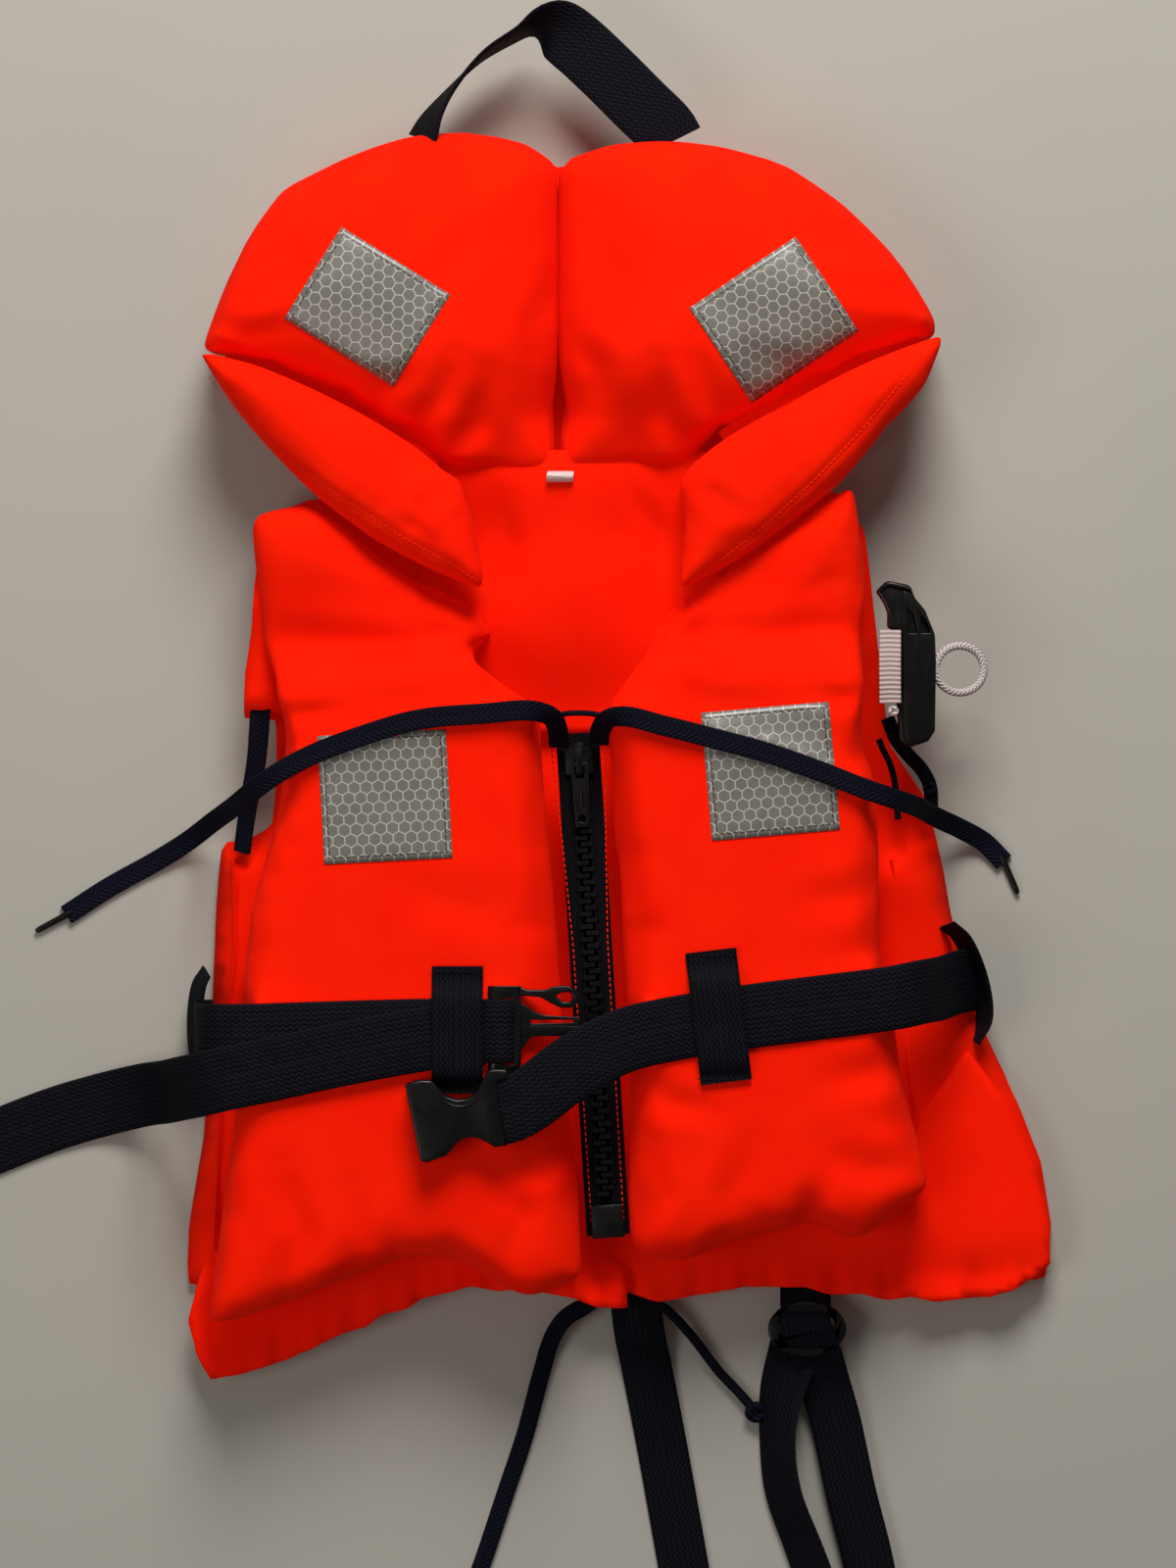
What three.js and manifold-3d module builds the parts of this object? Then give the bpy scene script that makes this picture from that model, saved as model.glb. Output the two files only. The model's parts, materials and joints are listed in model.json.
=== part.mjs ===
// A child's foam life jacket lying on its back: millimetres, +Z out of the chest, +Y to the collar.
import * as THREE from "three";
import { mergeVertices } from "three/addons/utils/BufferGeometryUtils.js";
import Module from "manifold-3d";

const wasm = await Module();
wasm.setup();

// Overall sizes. The outlines below are drawn for a jacket 342 wide and 492 long.
const jacketWidth = 342;
const jacketLength = 492;
const across = jacketWidth / 342;
const along = jacketLength / 492;

// Soft layers, from the floor up.
const backThickness = 6;
const torsoGap = 11;
const liningThickness = 1.2;
const fabricWall = 1.5;
const padThickness = 40;
const collarThickness = 54;
const lapelBottom = 28;
const lapelThickness = 34;
const skirtThickness = 2.5;
const fitGap = 0.3;

// Roundings of the cushions' top edges.
const padRound = 10;
const collarRound = 12;
const lapelRound = 3.5;
const roundShare = 0.6;

// Webbing and braid.
const webbingWidth = 25;
const webbingThickness = 1.8;
const keeperWidth = 21;
const crotchWidth = 20;
const laceWidth = 8;
const laceThickness = 2;
const hemCordWidth = 7;
const hemCordDiameter = 4;
const ringCordDiameter = 3.2;

// Zip.
const tapeHalfWidth = 8.5;
const tapeThickness = 0.8;
const toothPitch = 5;
const toothLength = 2;
const toothHeight = 3;
const chainHalfWidth = 2.6;
const beadWidth = 1;
const zipHeight = 33;
const sliderWidth = 10.8;
const sliderLength = 10;
const sliderWall = 1.3;
const pullerLength = 22;
const pullerWidth = 5.4;
const pullerThickness = 1.6;

// Side-release buckle and tri-glide.
const buckleExtra = 10;
const buckleThickness = 6;
const frameLength = 13;
const frameBar = 3;
const prongLength = 22;
const prongWidth = 4.4;
const guideWidth = 4;
const femaleLength = 38;
const femaleThickness = 11;
const femaleWall = 2.2;
const femaleAngle = 8;
const glideLength = 22;
const glideThickness = 5;

// Patches, label and whistle.
const patchSize = 50;
const patchThickness = 0.8;
const whistleLength = 62;
const whistleWidth = 19;
const whistleThickness = 12;
const holderWidth = 8.5;
const holderLength = 28;

// Heights that follow from the layers.
const liningBottom = backThickness + torsoGap;
const padBottom = liningBottom + liningThickness + fitGap;
const padTop = padBottom + padThickness;
const collarBottom = liningThickness + fitGap;
const collarTop = collarBottom + collarThickness;
const webbingHeight = padTop + fitGap + webbingThickness / 2;

const jacket = new THREE.Group();

function material(color, roughness = 0.8, metalness = 0) {
  return new THREE.MeshStandardMaterial({ color, roughness, metalness });
}

const neonFabric = () => material(0xff3a1e, 0.85);
const navyWebbing = () => material(0x12141f, 0.8);
const darkPlastic = () => material(0x1c1c20, 0.4);
const foam = () => material(0xe8e6df, 0.95);

function place(x, y) {
  return new THREE.Vector2(x * across, y * along);
}

function outlineOf(pairs) {
  return pairs.map(([x, y]) => place(x, y));
}

function shift(points, dx, dy) {
  return points.map((p) => new THREE.Vector2(p.x + dx, p.y + dy));
}

function addMesh(name, geometry, surface, parent = jacket) {
  const mesh = new THREE.Mesh(geometry, surface);
  mesh.name = name;
  parent.add(mesh);
  return mesh;
}

// Solids for joining and cutting.
function toSolid(geometry) {
  const bare = geometry.clone();
  bare.deleteAttribute("normal");
  bare.deleteAttribute("uv");
  const merged = mergeVertices(bare, 1e-5);
  return new wasm.Manifold(new wasm.Mesh({
    numProp: 3,
    vertProperties: new Float32Array(merged.attributes.position.array),
    triVerts: new Uint32Array(merged.index.array),
  }));
}

function toGeometry(solid) {
  const mesh = solid.getMesh();
  const geometry = new THREE.BufferGeometry();
  geometry.setAttribute("position", new THREE.BufferAttribute(new Float32Array(mesh.vertProperties), 3));
  geometry.setIndex(new THREE.BufferAttribute(new Uint32Array(mesh.triVerts), 1));
  geometry.computeVertexNormals();
  return geometry;
}

function box(width, depth, height, x = 0, y = 0, z = 0) {
  return toSolid(new THREE.BoxGeometry(width, depth, height).translate(x, y, z));
}

function rod(radius, length, direction, x, y, z) {
  const geometry = new THREE.CylinderGeometry(radius, radius, length, 16);
  if (direction === "x") {
    geometry.rotateZ(Math.PI / 2);
  }
  if (direction === "z") {
    geometry.rotateX(Math.PI / 2);
  }
  return toSolid(geometry.translate(x, y, z));
}

// A flat sheet of cloth between two heights.
function sheet(points, bottom, thickness, inset = 0) {
  return new THREE.ExtrudeGeometry(new THREE.Shape(points), {
    depth: thickness,
    bevelEnabled: inset > 0,
    bevelThickness: 0,
    bevelSize: 0,
    bevelOffset: -inset,
    bevelSegments: 1,
  }).translate(0, 0, bottom);
}

// A cushion: upright sides, a flat underside and a rounded top edge.
function cushion(points, bottom, top, round, inset = 0) {
  const depth = top - bottom + 2;
  const geometry = new THREE.ExtrudeGeometry(new THREE.Shape(points), {
    depth: depth - round,
    bevelThickness: round,
    bevelSize: round * roundShare,
    bevelOffset: -round * roundShare - inset,
    bevelSegments: 3,
  }).translate(0, 0, bottom - 2);
  const below = box(2000, 2000, 200, 0, 0, bottom - 100);
  return toSolid(geometry).subtract(below);
}

// Cover with an open underside, the foam in it, and the cloth that closes it.
function addPad(part, side, points, bottom, top, round) {
  const hollow = cushion(points, bottom - 1, top - fabricWall, round - fabricWall, fabricWall);
  const cover = cushion(points, bottom, top, round).subtract(hollow);
  const gap = fabricWall + fitGap;
  const filling = cushion(points, bottom + fitGap, top - gap, round - gap, gap);
  addMesh(`${part}_cover_${side}`, toGeometry(cover), neonFabric());
  addMesh(`${part}_foam_${side}`, toGeometry(filling), foam());
}

// Webbing or flat braid along a route of [x, y, z, yaw, tilt]; yaw and tilt turn its width.
function ribbon(route, width, thickness, step) {
  const curve = new THREE.CatmullRomCurve3(route.map(([x, y, z]) => new THREE.Vector3(x, y, z)), false, "centripetal");
  const length = curve.getLength();
  const steps = Math.max(2, Math.min(80, Math.round(length / step)));
  const geometry = new THREE.BoxGeometry(length, width, thickness, steps, 1, 1);
  const position = geometry.attributes.position;
  const widthAt = (t) => {
    const place = t * (route.length - 1);
    const first = Math.min(route.length - 2, Math.floor(place));
    const share = place - first;
    const yaw = THREE.MathUtils.lerp(route[first][3] ?? 90, route[first + 1][3] ?? 90, share);
    const tilt = THREE.MathUtils.lerp(route[first][4] ?? 0, route[first + 1][4] ?? 0, share);
    const a = THREE.MathUtils.degToRad(yaw);
    const b = THREE.MathUtils.degToRad(tilt);
    return new THREE.Vector3(Math.cos(a) * Math.cos(b), Math.sin(a) * Math.cos(b), Math.sin(b));
  };
  for (let i = 0; i < position.count; i += 1) {
    const u = THREE.MathUtils.clamp(position.getX(i) / length + 0.5, 0, 1);
    const t = curve.getUtoTmapping(u);
    const centre = curve.getPoint(t);
    const tangent = curve.getTangent(t);
    const wide = widthAt(t);
    wide.addScaledVector(tangent, -wide.dot(tangent)).normalize();
    const normal = new THREE.Vector3().crossVectors(tangent, wide);
    centre.addScaledVector(wide, position.getY(i));
    centre.addScaledVector(normal, position.getZ(i));
    position.setXYZ(i, centre.x, centre.y, centre.z);
  }
  return geometry;
}

// Round cord along a route of points.
function cord(route, diameter, closed = false) {
  const curve = new THREE.CatmullRomCurve3(route.map(([x, y, z]) => new THREE.Vector3(x, y, z)), closed);
  const steps = Math.min(80, Math.ceil(curve.getLength() / (2.5 * diameter)));
  const section = new THREE.Shape();
  section.absarc(0, 0, diameter / 2, 0, Math.PI * 2);
  return new THREE.ExtrudeGeometry(section, { steps, extrudePath: curve, curveSegments: 8, bevelEnabled: false });
}

// The zip runs straight from the neck to the hem; t is the distance down it.
const zipTop = place(-4, 17);
const zipEnd = place(8, -177);
const zipLength = zipTop.distanceTo(zipEnd);
const zipAngle = Math.atan2(zipEnd.x - zipTop.x, zipTop.y - zipEnd.y);

function besideZip(side, t) {
  const reach = side * (tapeHalfWidth + fitGap);
  const x = zipTop.x + Math.sin(zipAngle) * t + Math.cos(zipAngle) * reach;
  const y = zipTop.y - Math.cos(zipAngle) * t + Math.sin(zipAngle) * reach;
  return new THREE.Vector2(x, y);
}

// Edges that two cushions share.
const lapelGap = 0.5;
const lapelUpperLeft = outlineOf([[-153, 170], [-127, 164], [-107, 155], [-86, 143.5], [-68, 133.5], [-56, 123]]);
const lapelLowerLeft = outlineOf([[-39, 74.5], [-60, 82], [-81, 93], [-106, 111]]);
const lapelUpperRight = outlineOf([[140, 177], [108, 165.5], [77, 148], [54, 136.5], [38, 124]]);
const lapelLowerRight = outlineOf([[35, 75], [63, 89.5], [82, 104], [101, 119]]);

function addBack() {
  const outline = outlineOf([
    [-158, -198], [-157, -175], [-150, -140], [-147, -100], [-146, -47], [-142, -22], [-134, 10], [-134, 60],
    [-129, 104], [-110, 112], [-50, 116], [-12, 118], [35, 117], [98, 115], [109, 100], [114, 60], [119, 16],
    [135, -8], [143, -54], [157, -101], [170, -127], [179, -150], [183, -175], [181, -196], [100, -196], [0, -196],
  ]);
  const shoulderLeft = outlineOf([[-127, 90], [-75, 76], [-70, 84], [-82, 92], [-106, 108], [-126, 106]]);
  const shoulderRight = outlineOf([[107, 90], [58, 74], [56, 82], [82, 102], [97, 113], [105, 110]]);
  const beltLine = beltBackRight.clone().sub(beltBackLeft);
  const middle = beltBackLeft.clone().add(beltBackRight).multiplyScalar(0.5);
  const channelDepth = webbingThickness + 2 * fitGap;
  const channel = new THREE.BoxGeometry(beltLine.length() + 60, webbingWidth + 4 * fitGap, 2 * channelDepth);
  channel.rotateZ(beltLine.angle()).translate(middle.x, middle.y, 0);
  let back = toSolid(sheet(outline, 0, backThickness)).subtract(toSolid(channel));
  for (const shoulder of [shoulderLeft, shoulderRight]) {
    const height = torsoGap - fitGap + 1;
    back = back.add(toSolid(sheet(shoulder, backThickness - 1, height)));
  }
  addMesh("back_panel", toGeometry(back), neonFabric());
  const neck = outlineOf([[-62, 20], [50, 20], [52, 70], [34, 112], [-48, 112], [-66, 72]]);
  addMesh("neck_lining", sheet(neck, backThickness + fitGap, skirtThickness), neonFabric());
}

function addSides() {
  const height = torsoGap - 2 * fitGap;
  const left = outlineOf([[-142, -30], [-138, -32], [-141, -100], [-146, -185], [-150, -185], [-145, -100]]);
  const right = outlineOf([[122, -30], [118, -32], [124, -100], [127, -126], [131, -126], [128, -100]]);
  addMesh("side_panel_left", sheet(left, backThickness + fitGap, height), neonFabric());
  addMesh("side_panel_right", sheet(right, backThickness + fitGap, height), neonFabric());
}

function addFronts() {
  const left = [
    besideZip(-1, zipLength),
    besideZip(-1, -12),
    ...outlineOf([[-31, 40], [-41, 52], [-33, 63]]),
    ...shift(lapelLowerLeft, 0, -lapelGap),
    ...outlineOf([
      [-127, 106], [-127, 67], [-128, 42], [-124, 20], [-127, -9], [-138, -50], [-142, -90], [-144, -127],
      [-148, -173], [-151, -212], [-123, -206], [-104, -201], [-72, -192], [-47, -188.5], [-21, -189],
    ]),
  ];
  const right = [
    besideZip(1, -12),
    besideZip(1, zipLength),
    ...outlineOf([
      [35, -184], [60, -181], [86, -178], [108, -181], [123, -169], [136, -158], [130, -129], [127, -100],
      [120, -62], [120, -27], [118, 4], [113, 15], [113.5, 52], [112, 72],
    ]),
    ...shift(lapelLowerRight.toReversed(), 0, -lapelGap),
    ...outlineOf([[20, 60], [15, 44]]),
  ];
  for (const [side, outline] of [["left", left], ["right", right]]) {
    addPad("front", side, outline, padBottom, padTop, padRound);
    addMesh(`front_lining_${side}`, sheet(outline, liningBottom, liningThickness), neonFabric());
  }
}

function addSkirts() {
  const overlap = 26;
  const under = liningBottom - fitGap - skirtThickness;
  const left = outlineOf([
    [-152, -190], [-20, -190 + overlap], [4, -190 + overlap], [13, -205], [-8, -203], [-40, -200], [-60, -202],
    [-85, -214], [-120, -228], [-149, -235], [-157, -215],
  ]);
  const right = outlineOf([
    [17, -180], [125, -160], [132, -130], [150, -105], [165, -125], [176, -150], [181, -175], [180, -190],
    [160, -203], [112, -200], [60, -198.5], [27, -204], [16, -201],
  ]);
  addMesh("hem_skirt_left", sheet(left, under, skirtThickness), neonFabric());
  addMesh("hem_skirt_right", sheet(right, under, skirtThickness), neonFabric());
}

function addCollar() {
  const left = [
    ...outlineOf([
      [-12, 121], [-12, 245], [-28, 253.5], [-50, 256.5], [-70, 255.5], [-94, 247], [-119, 234.5], [-133, 217],
      [-143, 196],
    ]),
    ...shift(lapelUpperLeft, 0, lapelGap),
  ];
  const right = [
    ...outlineOf([
      [-11.4, 121], [-11.4, 245], [8, 252], [31, 254], [54, 251], [77, 244.5], [96, 231], [119, 210], [131, 194],
    ]),
    ...shift(lapelUpperRight, 0, lapelGap),
  ];
  addPad("collar", "left", left, collarBottom, collarTop, collarRound);
  addPad("collar", "right", right, collarBottom, collarTop, collarRound);
  const back = outlineOf([
    [-48, 123], [33, 123], [107, 168], [134, 184], [94, 229], [53, 249], [30, 252], [-11, 246], [-46, 254],
    [-69, 253], [-117, 232], [-137, 203], [-146, 184], [-106, 158],
  ]);
  addMesh("collar_back_cover", sheet(back, 0, liningThickness), neonFabric());
  const label = new THREE.BoxGeometry(10, 0.8, 14).translate(-11 * across, 121 * along - 0.8, collarTop - 26);
  addMesh("collar_label", label, material(0xf2e6e2, 0.9));
}

function addLapel(side, points, slitAt, slitAngle) {
  const bottom = lapelBottom;
  const top = bottom + lapelThickness;
  const gap = fabricWall + fitGap;
  const hollow = cushion(points, bottom + fabricWall, top - fabricWall, lapelRound - fabricWall, fabricWall);
  const slit = toSolid(new THREE.BoxGeometry(30, 1.2, 8).rotateZ(slitAngle).translate(slitAt.x, slitAt.y, bottom));
  const cover = cushion(points, bottom, top, lapelRound).subtract(hollow).subtract(slit);
  const filling = cushion(points, bottom + gap, top - gap, lapelRound - gap, gap);
  addMesh(`lapel_cover_${side}`, toGeometry(cover), neonFabric());
  addMesh(`lapel_foam_${side}`, toGeometry(filling), foam());
}

function addLapels() {
  const left = [
    ...lapelUpperLeft,
    ...outlineOf([[-49.5, 120], [-45, 103]]),
    ...lapelLowerLeft,
    ...outlineOf([[-128, 134], [-145, 156]]),
  ];
  const right = [
    ...lapelUpperRight,
    ...outlineOf([[34.5, 118], [38, 103]]),
    ...lapelLowerRight,
    ...outlineOf([[119, 142], [132, 154]]),
  ];
  addLapel("left", left, place(-78, 114), -0.55);
  addLapel("right", right, place(67, 117), 0.62);
}

function addHandle() {
  const rise = collarTop / 2;
  const seat = 256.5 * along + fitGap;
  const route = [
    [-65 * across, seat, rise, 0], [-65 * across, seat + 12, rise, 0], [-48 * across, seat + 30, rise, -45],
    [-17 * across, seat + 40, rise, -88], [14 * across, seat + 30, rise, -135], [33 * across, seat + 12, rise, -180],
    [33 * across, seat, rise, -180],
  ];
  addMesh("carry_handle", ribbon(route, webbingWidth, webbingThickness, 5), navyWebbing());
}

function addPatches() {
  const spots = [
    ["patch_collar_left", -86, 186, -32, collarTop, 42],
    ["patch_collar_right", 72.5, 181, 34, collarTop, 44],
    ["patch_front_left", -79, -5, 3, padTop, patchSize],
    ["patch_front_right", 71, 5, 5, padTop, patchSize],
  ];
  for (const [name, x, y, angle, height, deep] of spots) {
    const patch = new THREE.BoxGeometry(patchSize, deep, patchThickness);
    const mesh = addMesh(name, patch, material(0x9a9894, 0.35));
    mesh.position.set(x * across, y * along, height + fitGap + patchThickness / 2);
    mesh.rotation.z = THREE.MathUtils.degToRad(angle);
  }
}

// The zip group's own -Y points down the zip, so its pieces are built straight.
function addZip() {
  const zip = new THREE.Group();
  zip.position.set(zipTop.x, zipTop.y, zipHeight);
  zip.rotation.z = zipAngle;
  jacket.add(zip);

  const chainStart = 3;
  const boxLength = 13;
  const chainEnd = zipLength - boxLength - fitGap;
  const toothCount = Math.floor((chainEnd - chainStart) / toothPitch);
  for (const [side, sign] of [["left", -1], ["right", 1]]) {
    const tapeInner = chainHalfWidth + fitGap;
    const tapeWide = tapeHalfWidth - tapeInner;
    const tape = new THREE.BoxGeometry(tapeWide, zipLength, tapeThickness);
    tape.translate(sign * (tapeInner + tapeWide / 2), -zipLength / 2, 0);
    addMesh(`zip_tape_${side}`, tape, navyWebbing(), zip);

    const beadX = sign * (chainHalfWidth - beadWidth / 2);
    const chainLength = toothCount * toothPitch;
    let teeth = box(beadWidth, chainLength, toothHeight, beadX, -chainStart - chainLength / 2, 0);
    for (let i = 0; i < toothCount; i += 1) {
      const start = chainStart + i * toothPitch + (sign > 0 ? toothPitch / 2 : 0) + 0.25;
      const inner = -(chainHalfWidth - beadWidth - fitGap);
      const outer = chainHalfWidth - beadWidth / 2;
      const wide = outer - inner;
      teeth = teeth.add(box(wide, toothLength, toothHeight, (sign * (outer + inner)) / 2, -start - toothLength / 2, 0));
    }
    addMesh(`zip_teeth_${side}`, toGeometry(teeth), darkPlastic(), zip);
  }

  const boxHeight = 2.6;
  const stop = new THREE.BoxGeometry(sliderWidth + 2, boxLength, boxHeight);
  stop.translate(0, -zipLength + boxLength / 2 - 1, tapeThickness / 2 + fitGap + boxHeight / 2);
  addMesh("zip_box", stop, darkPlastic(), zip);
  addSlider(zip, chainStart);
}

// The slider rides on the closed chain: an upper plate with a side wing over each edge.
function addSlider(zip, chainStart) {
  const top = toothHeight / 2 + fitGap + sliderWall;
  const under = tapeThickness / 2 + fitGap;
  const channel = chainHalfWidth + fitGap;
  const middle = -chainStart - sliderLength / 2;
  const bridgeTop = top + 3.2;
  let slider = box(sliderWidth, sliderLength, top - under, 0, middle, (top + under) / 2);
  slider = slider.add(box(4, 2.2, sliderWall, 0, middle + sliderLength / 2 + 1, top - sliderWall / 2));
  slider = slider.subtract(box(2 * channel, sliderLength + 8, 2 * (top - sliderWall), 0, middle, 0));
  for (const y of [middle + 4, middle - 4]) {
    slider = slider.add(box(2.4, 1.8, bridgeTop - top + 0.8, 0, y, (bridgeTop + top) / 2));
  }
  slider = slider.add(box(2.4, 9.8, 1.2, 0, middle, bridgeTop + 0.4));
  addMesh("zip_slider", toGeometry(slider), darkPlastic(), zip);

  const eye = 1.5;
  const tab = new THREE.Shape();
  tab.moveTo(-3.6, 3.2);
  tab.lineTo(3.6, 3.2);
  tab.lineTo(pullerWidth / 2, -pullerLength);
  tab.lineTo(-pullerWidth / 2, -pullerLength);
  tab.closePath();
  const slot = new THREE.Path();
  slot.absarc(0, -pullerLength + 3.4, eye, 0, Math.PI * 2);
  tab.holes.push(slot);
  const blade = new THREE.ExtrudeGeometry(tab, { depth: pullerThickness, bevelEnabled: false, curveSegments: 8 });
  const window = box(2.4 + 2 * fitGap + 0.4, 4.5, 6, 0, -0.55, pullerThickness / 2);
  const puller = toSolid(blade).subtract(window);
  const mesh = addMesh("zip_puller", toGeometry(puller), darkPlastic(), zip);
  mesh.position.set(0, middle - 4, top + 0.5);
}

// The waist belt comes round the back in a channel, up over the pads and on to the buckle.
const beltBackLeft = place(-147, -98);
const beltBackRight = place(149, -77);
const backHeight = fitGap + webbingThickness / 2;
const buckleY = -96 * along;
const frameX = -39 * across;
const tailRise = webbingThickness + fitGap;

function onBack(share) {
  const point = beltBackLeft.clone().lerp(beltBackRight, share);
  return [point.x, point.y];
}

function addBelt() {
  const middle = beltBackLeft.clone().add(beltBackRight).multiplyScalar(0.5);
  const left = [
    [middle.x - 1, middle.y, backHeight, 94], [...onBack(0.1), backHeight, 94],
    [...onBack(0), backHeight, 92], [beltBackLeft.x - 7.5, beltBackLeft.y, backHeight, 92],
    [beltBackLeft.x - 10, beltBackLeft.y, 8], [beltBackLeft.x - 10.2, beltBackLeft.y, padTop / 2],
    [beltBackLeft.x - 7, beltBackLeft.y, padTop - 11], [beltBackLeft.x + 1.5, beltBackLeft.y, padTop - 1.2],
    [beltBackLeft.x + 14, -98 * along, webbingHeight + 0.5],
    [-100 * across, -97 * along, webbingHeight], [-62 * across, buckleY, webbingHeight],
    [frameX - fitGap - 0.2, buckleY, webbingHeight],
  ];
  addMesh("belt_left", ribbon(left, webbingWidth, webbingThickness, 9), navyWebbing());

  const low = buckleY - 27;
  const right = [
    [frameX + 12, low - 1, webbingHeight + 6.6, 122], [frameX + 20, low + 4, webbingHeight + 8.8, 124],
    [frameX + 31, low + 11.5, webbingHeight + 8.6, 124], [frameX + 42, low + 18.5, webbingHeight + 7.2, 119],
    [frameX + 55, low + 24, webbingHeight + 3.4, 112], [29 * across, -96 * along, webbingHeight + 0.3, 102],
    [43 * across, -93.5 * along, webbingHeight, 98], [64 * across, -90.3 * along, webbingHeight, 97],
    [106 * across, -85 * along, webbingHeight, 97], [120 * across, -83 * along, webbingHeight + 0.3, 97],
    [130 * across, -81 * along, padTop - 2.5, 96], [139 * across, -80 * along, padTop - 17, 96],
    [149 * across, -78 * along, padTop * 0.42, 95], [beltBackRight.x + 9.8, beltBackRight.y, 10, 94],
    [beltBackRight.x + 7.2, beltBackRight.y, backHeight, 94], [...onBack(1), backHeight, 94],
    [...onBack(0.9), backHeight, 94], [middle.x + 1, middle.y, backHeight, 94],
  ];
  addMesh("belt_right", ribbon(right, webbingWidth, webbingThickness, 7), navyWebbing());

  const keepers = [["left", -50, buckleY - 1.5, 2 * tailRise], ["right", 51, -92.5 * along, tailRise]];
  for (const [side, x, y, span] of keepers) {
    const half = webbingWidth / 2 + (side === "right" ? 2 : 0.5);
    const arch = webbingHeight + span + fitGap + 0.2;
    const keeper = [
      [x * across, y + half + 10, webbingHeight, 0], [x * across, y + half + 6, webbingHeight, 0],
      [x * across, y + half + 3.6, arch - 1.2, 0], [x * across, y + half + 1, arch, 0],
      [x * across, y, arch, 0], [x * across, y - half - 1, arch, 0],
      [x * across, y - half - 3.6, arch - 1.2, 0], [x * across, y - half - 6, webbingHeight, 0],
      [x * across, y - half - 9, webbingHeight, 0],
    ];
    addMesh(`belt_keeper_${side}`, ribbon(keeper, keeperWidth, webbingThickness, 4), navyWebbing());
  }
  addMesh("belt_loop_left", sideLoop(beltBackLeft.x - 12.5, beltBackLeft.y), navyWebbing());
  addMesh("belt_loop_right", sideLoop(beltBackRight.x + 12.2, beltBackRight.y), navyWebbing());
}

// A short upright strap outside the belt, turned in over it at both ends.
function sideLoop(x, y) {
  const half = webbingWidth / 2 + 3;
  const inward = x < 0 ? 4 : -4;
  const route = [
    [x + inward, y + half, 14, 0, 90], [x, y + half - 2, 14, 0, 90], [x, y, 14, 0, 90],
    [x, y - half + 2, 14, 0, 90], [x + inward, y - half, 14, 0, 90],
  ];
  return ribbon(route, 14, 1.2, 4);
}

function addBuckle() {
  const wide = webbingWidth + buckleExtra;
  const height = padTop + fitGap + buckleThickness / 2;
  const male = new THREE.Group();
  male.position.set(frameX + frameBar, buckleY, height);
  jacket.add(male);

  const inner = frameLength - frameBar;
  let frame = rod(frameBar, wide, "y", 0, 0, 0);
  frame = frame.add(box(inner, wide, buckleThickness, inner / 2, 0, 0));
  frame = frame.subtract(box(inner - 3 - frameBar, webbingWidth + 1, 20, frameBar + (inner - 3 - frameBar) / 2, 0, 0));
  frame = frame.add(box(prongLength + 2, guideWidth, buckleThickness - 2, inner + prongLength / 2, 0, 0));
  const root = prongWidth / 2 + fitGap;
  const reach = wide / 2 - root;
  const pivot = inner + root - 1;
  for (const sign of [-1, 1]) {
    frame = frame.subtract(rod(root, 20, "z", pivot, sign * reach, 0));
  }
  addMesh("buckle_male", toGeometry(frame), darkPlastic(), male);

  for (const [side, sign] of [["upper", 1], ["lower", -1]]) {
    let prong = rod(prongWidth / 2, buckleThickness - 1.5, "z", 0, 0, 0);
    prong = prong.add(box(prongLength - 6, prongWidth, buckleThickness - 1.5, (prongLength - 6) / 2, 0, 0));
    prong = prong.add(rod(5, buckleThickness - 1.5, "z", prongLength - 6, -sign * 0.6, 0));
    prong = prong.subtract(rod(2.2, 20, "z", prongLength - 6, -sign * 0.6, 0));
    const mesh = addMesh(`buckle_prong_${side}`, toGeometry(prong), darkPlastic(), male);
    mesh.position.set(pivot, sign * reach, 0);
  }
  addFemale(wide);
}

function addFemale(wide) {
  const female = new THREE.Group();
  const barX = frameX + 4.5;
  female.position.set(barX, buckleY - wide / 2 - wide / 2 - 0.5, webbingHeight + femaleThickness / 2 + 1.2);
  female.rotation.z = THREE.MathUtils.degToRad(femaleAngle);
  jacket.add(female);
  const bar = 2.4;
  const shell = femaleLength - 10;
  const deep = wide - 3;
  // The bar lies on the group's own Y axis and the mouth faces its -X.
  let housing = rod(bar, deep, "y", 0, 0, 0);
  for (const sign of [-1, 1]) {
    housing = housing.add(box(10, 3, 2 * bar, -5, sign * (deep / 2 - 1.5), 0));
  }
  const body = box(shell, deep, femaleThickness, -8 - shell / 2, 0, 0);
  const mouth = box(shell, deep - 2 * femaleWall, femaleThickness - 2 * femaleWall, -8 - shell / 2 - femaleWall, 0, 0);
  housing = housing.add(body.subtract(mouth));
  for (const sign of [-1, 1]) {
    housing = housing.subtract(box(12, 8, femaleThickness - 2 * femaleWall, -20, sign * (deep / 2), 0));
  }
  housing = housing.subtract(rod(7, 30, "z", -8 - shell - 3, 0, 0));
  addMesh("buckle_female", toGeometry(housing), darkPlastic(), female);
}

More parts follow.
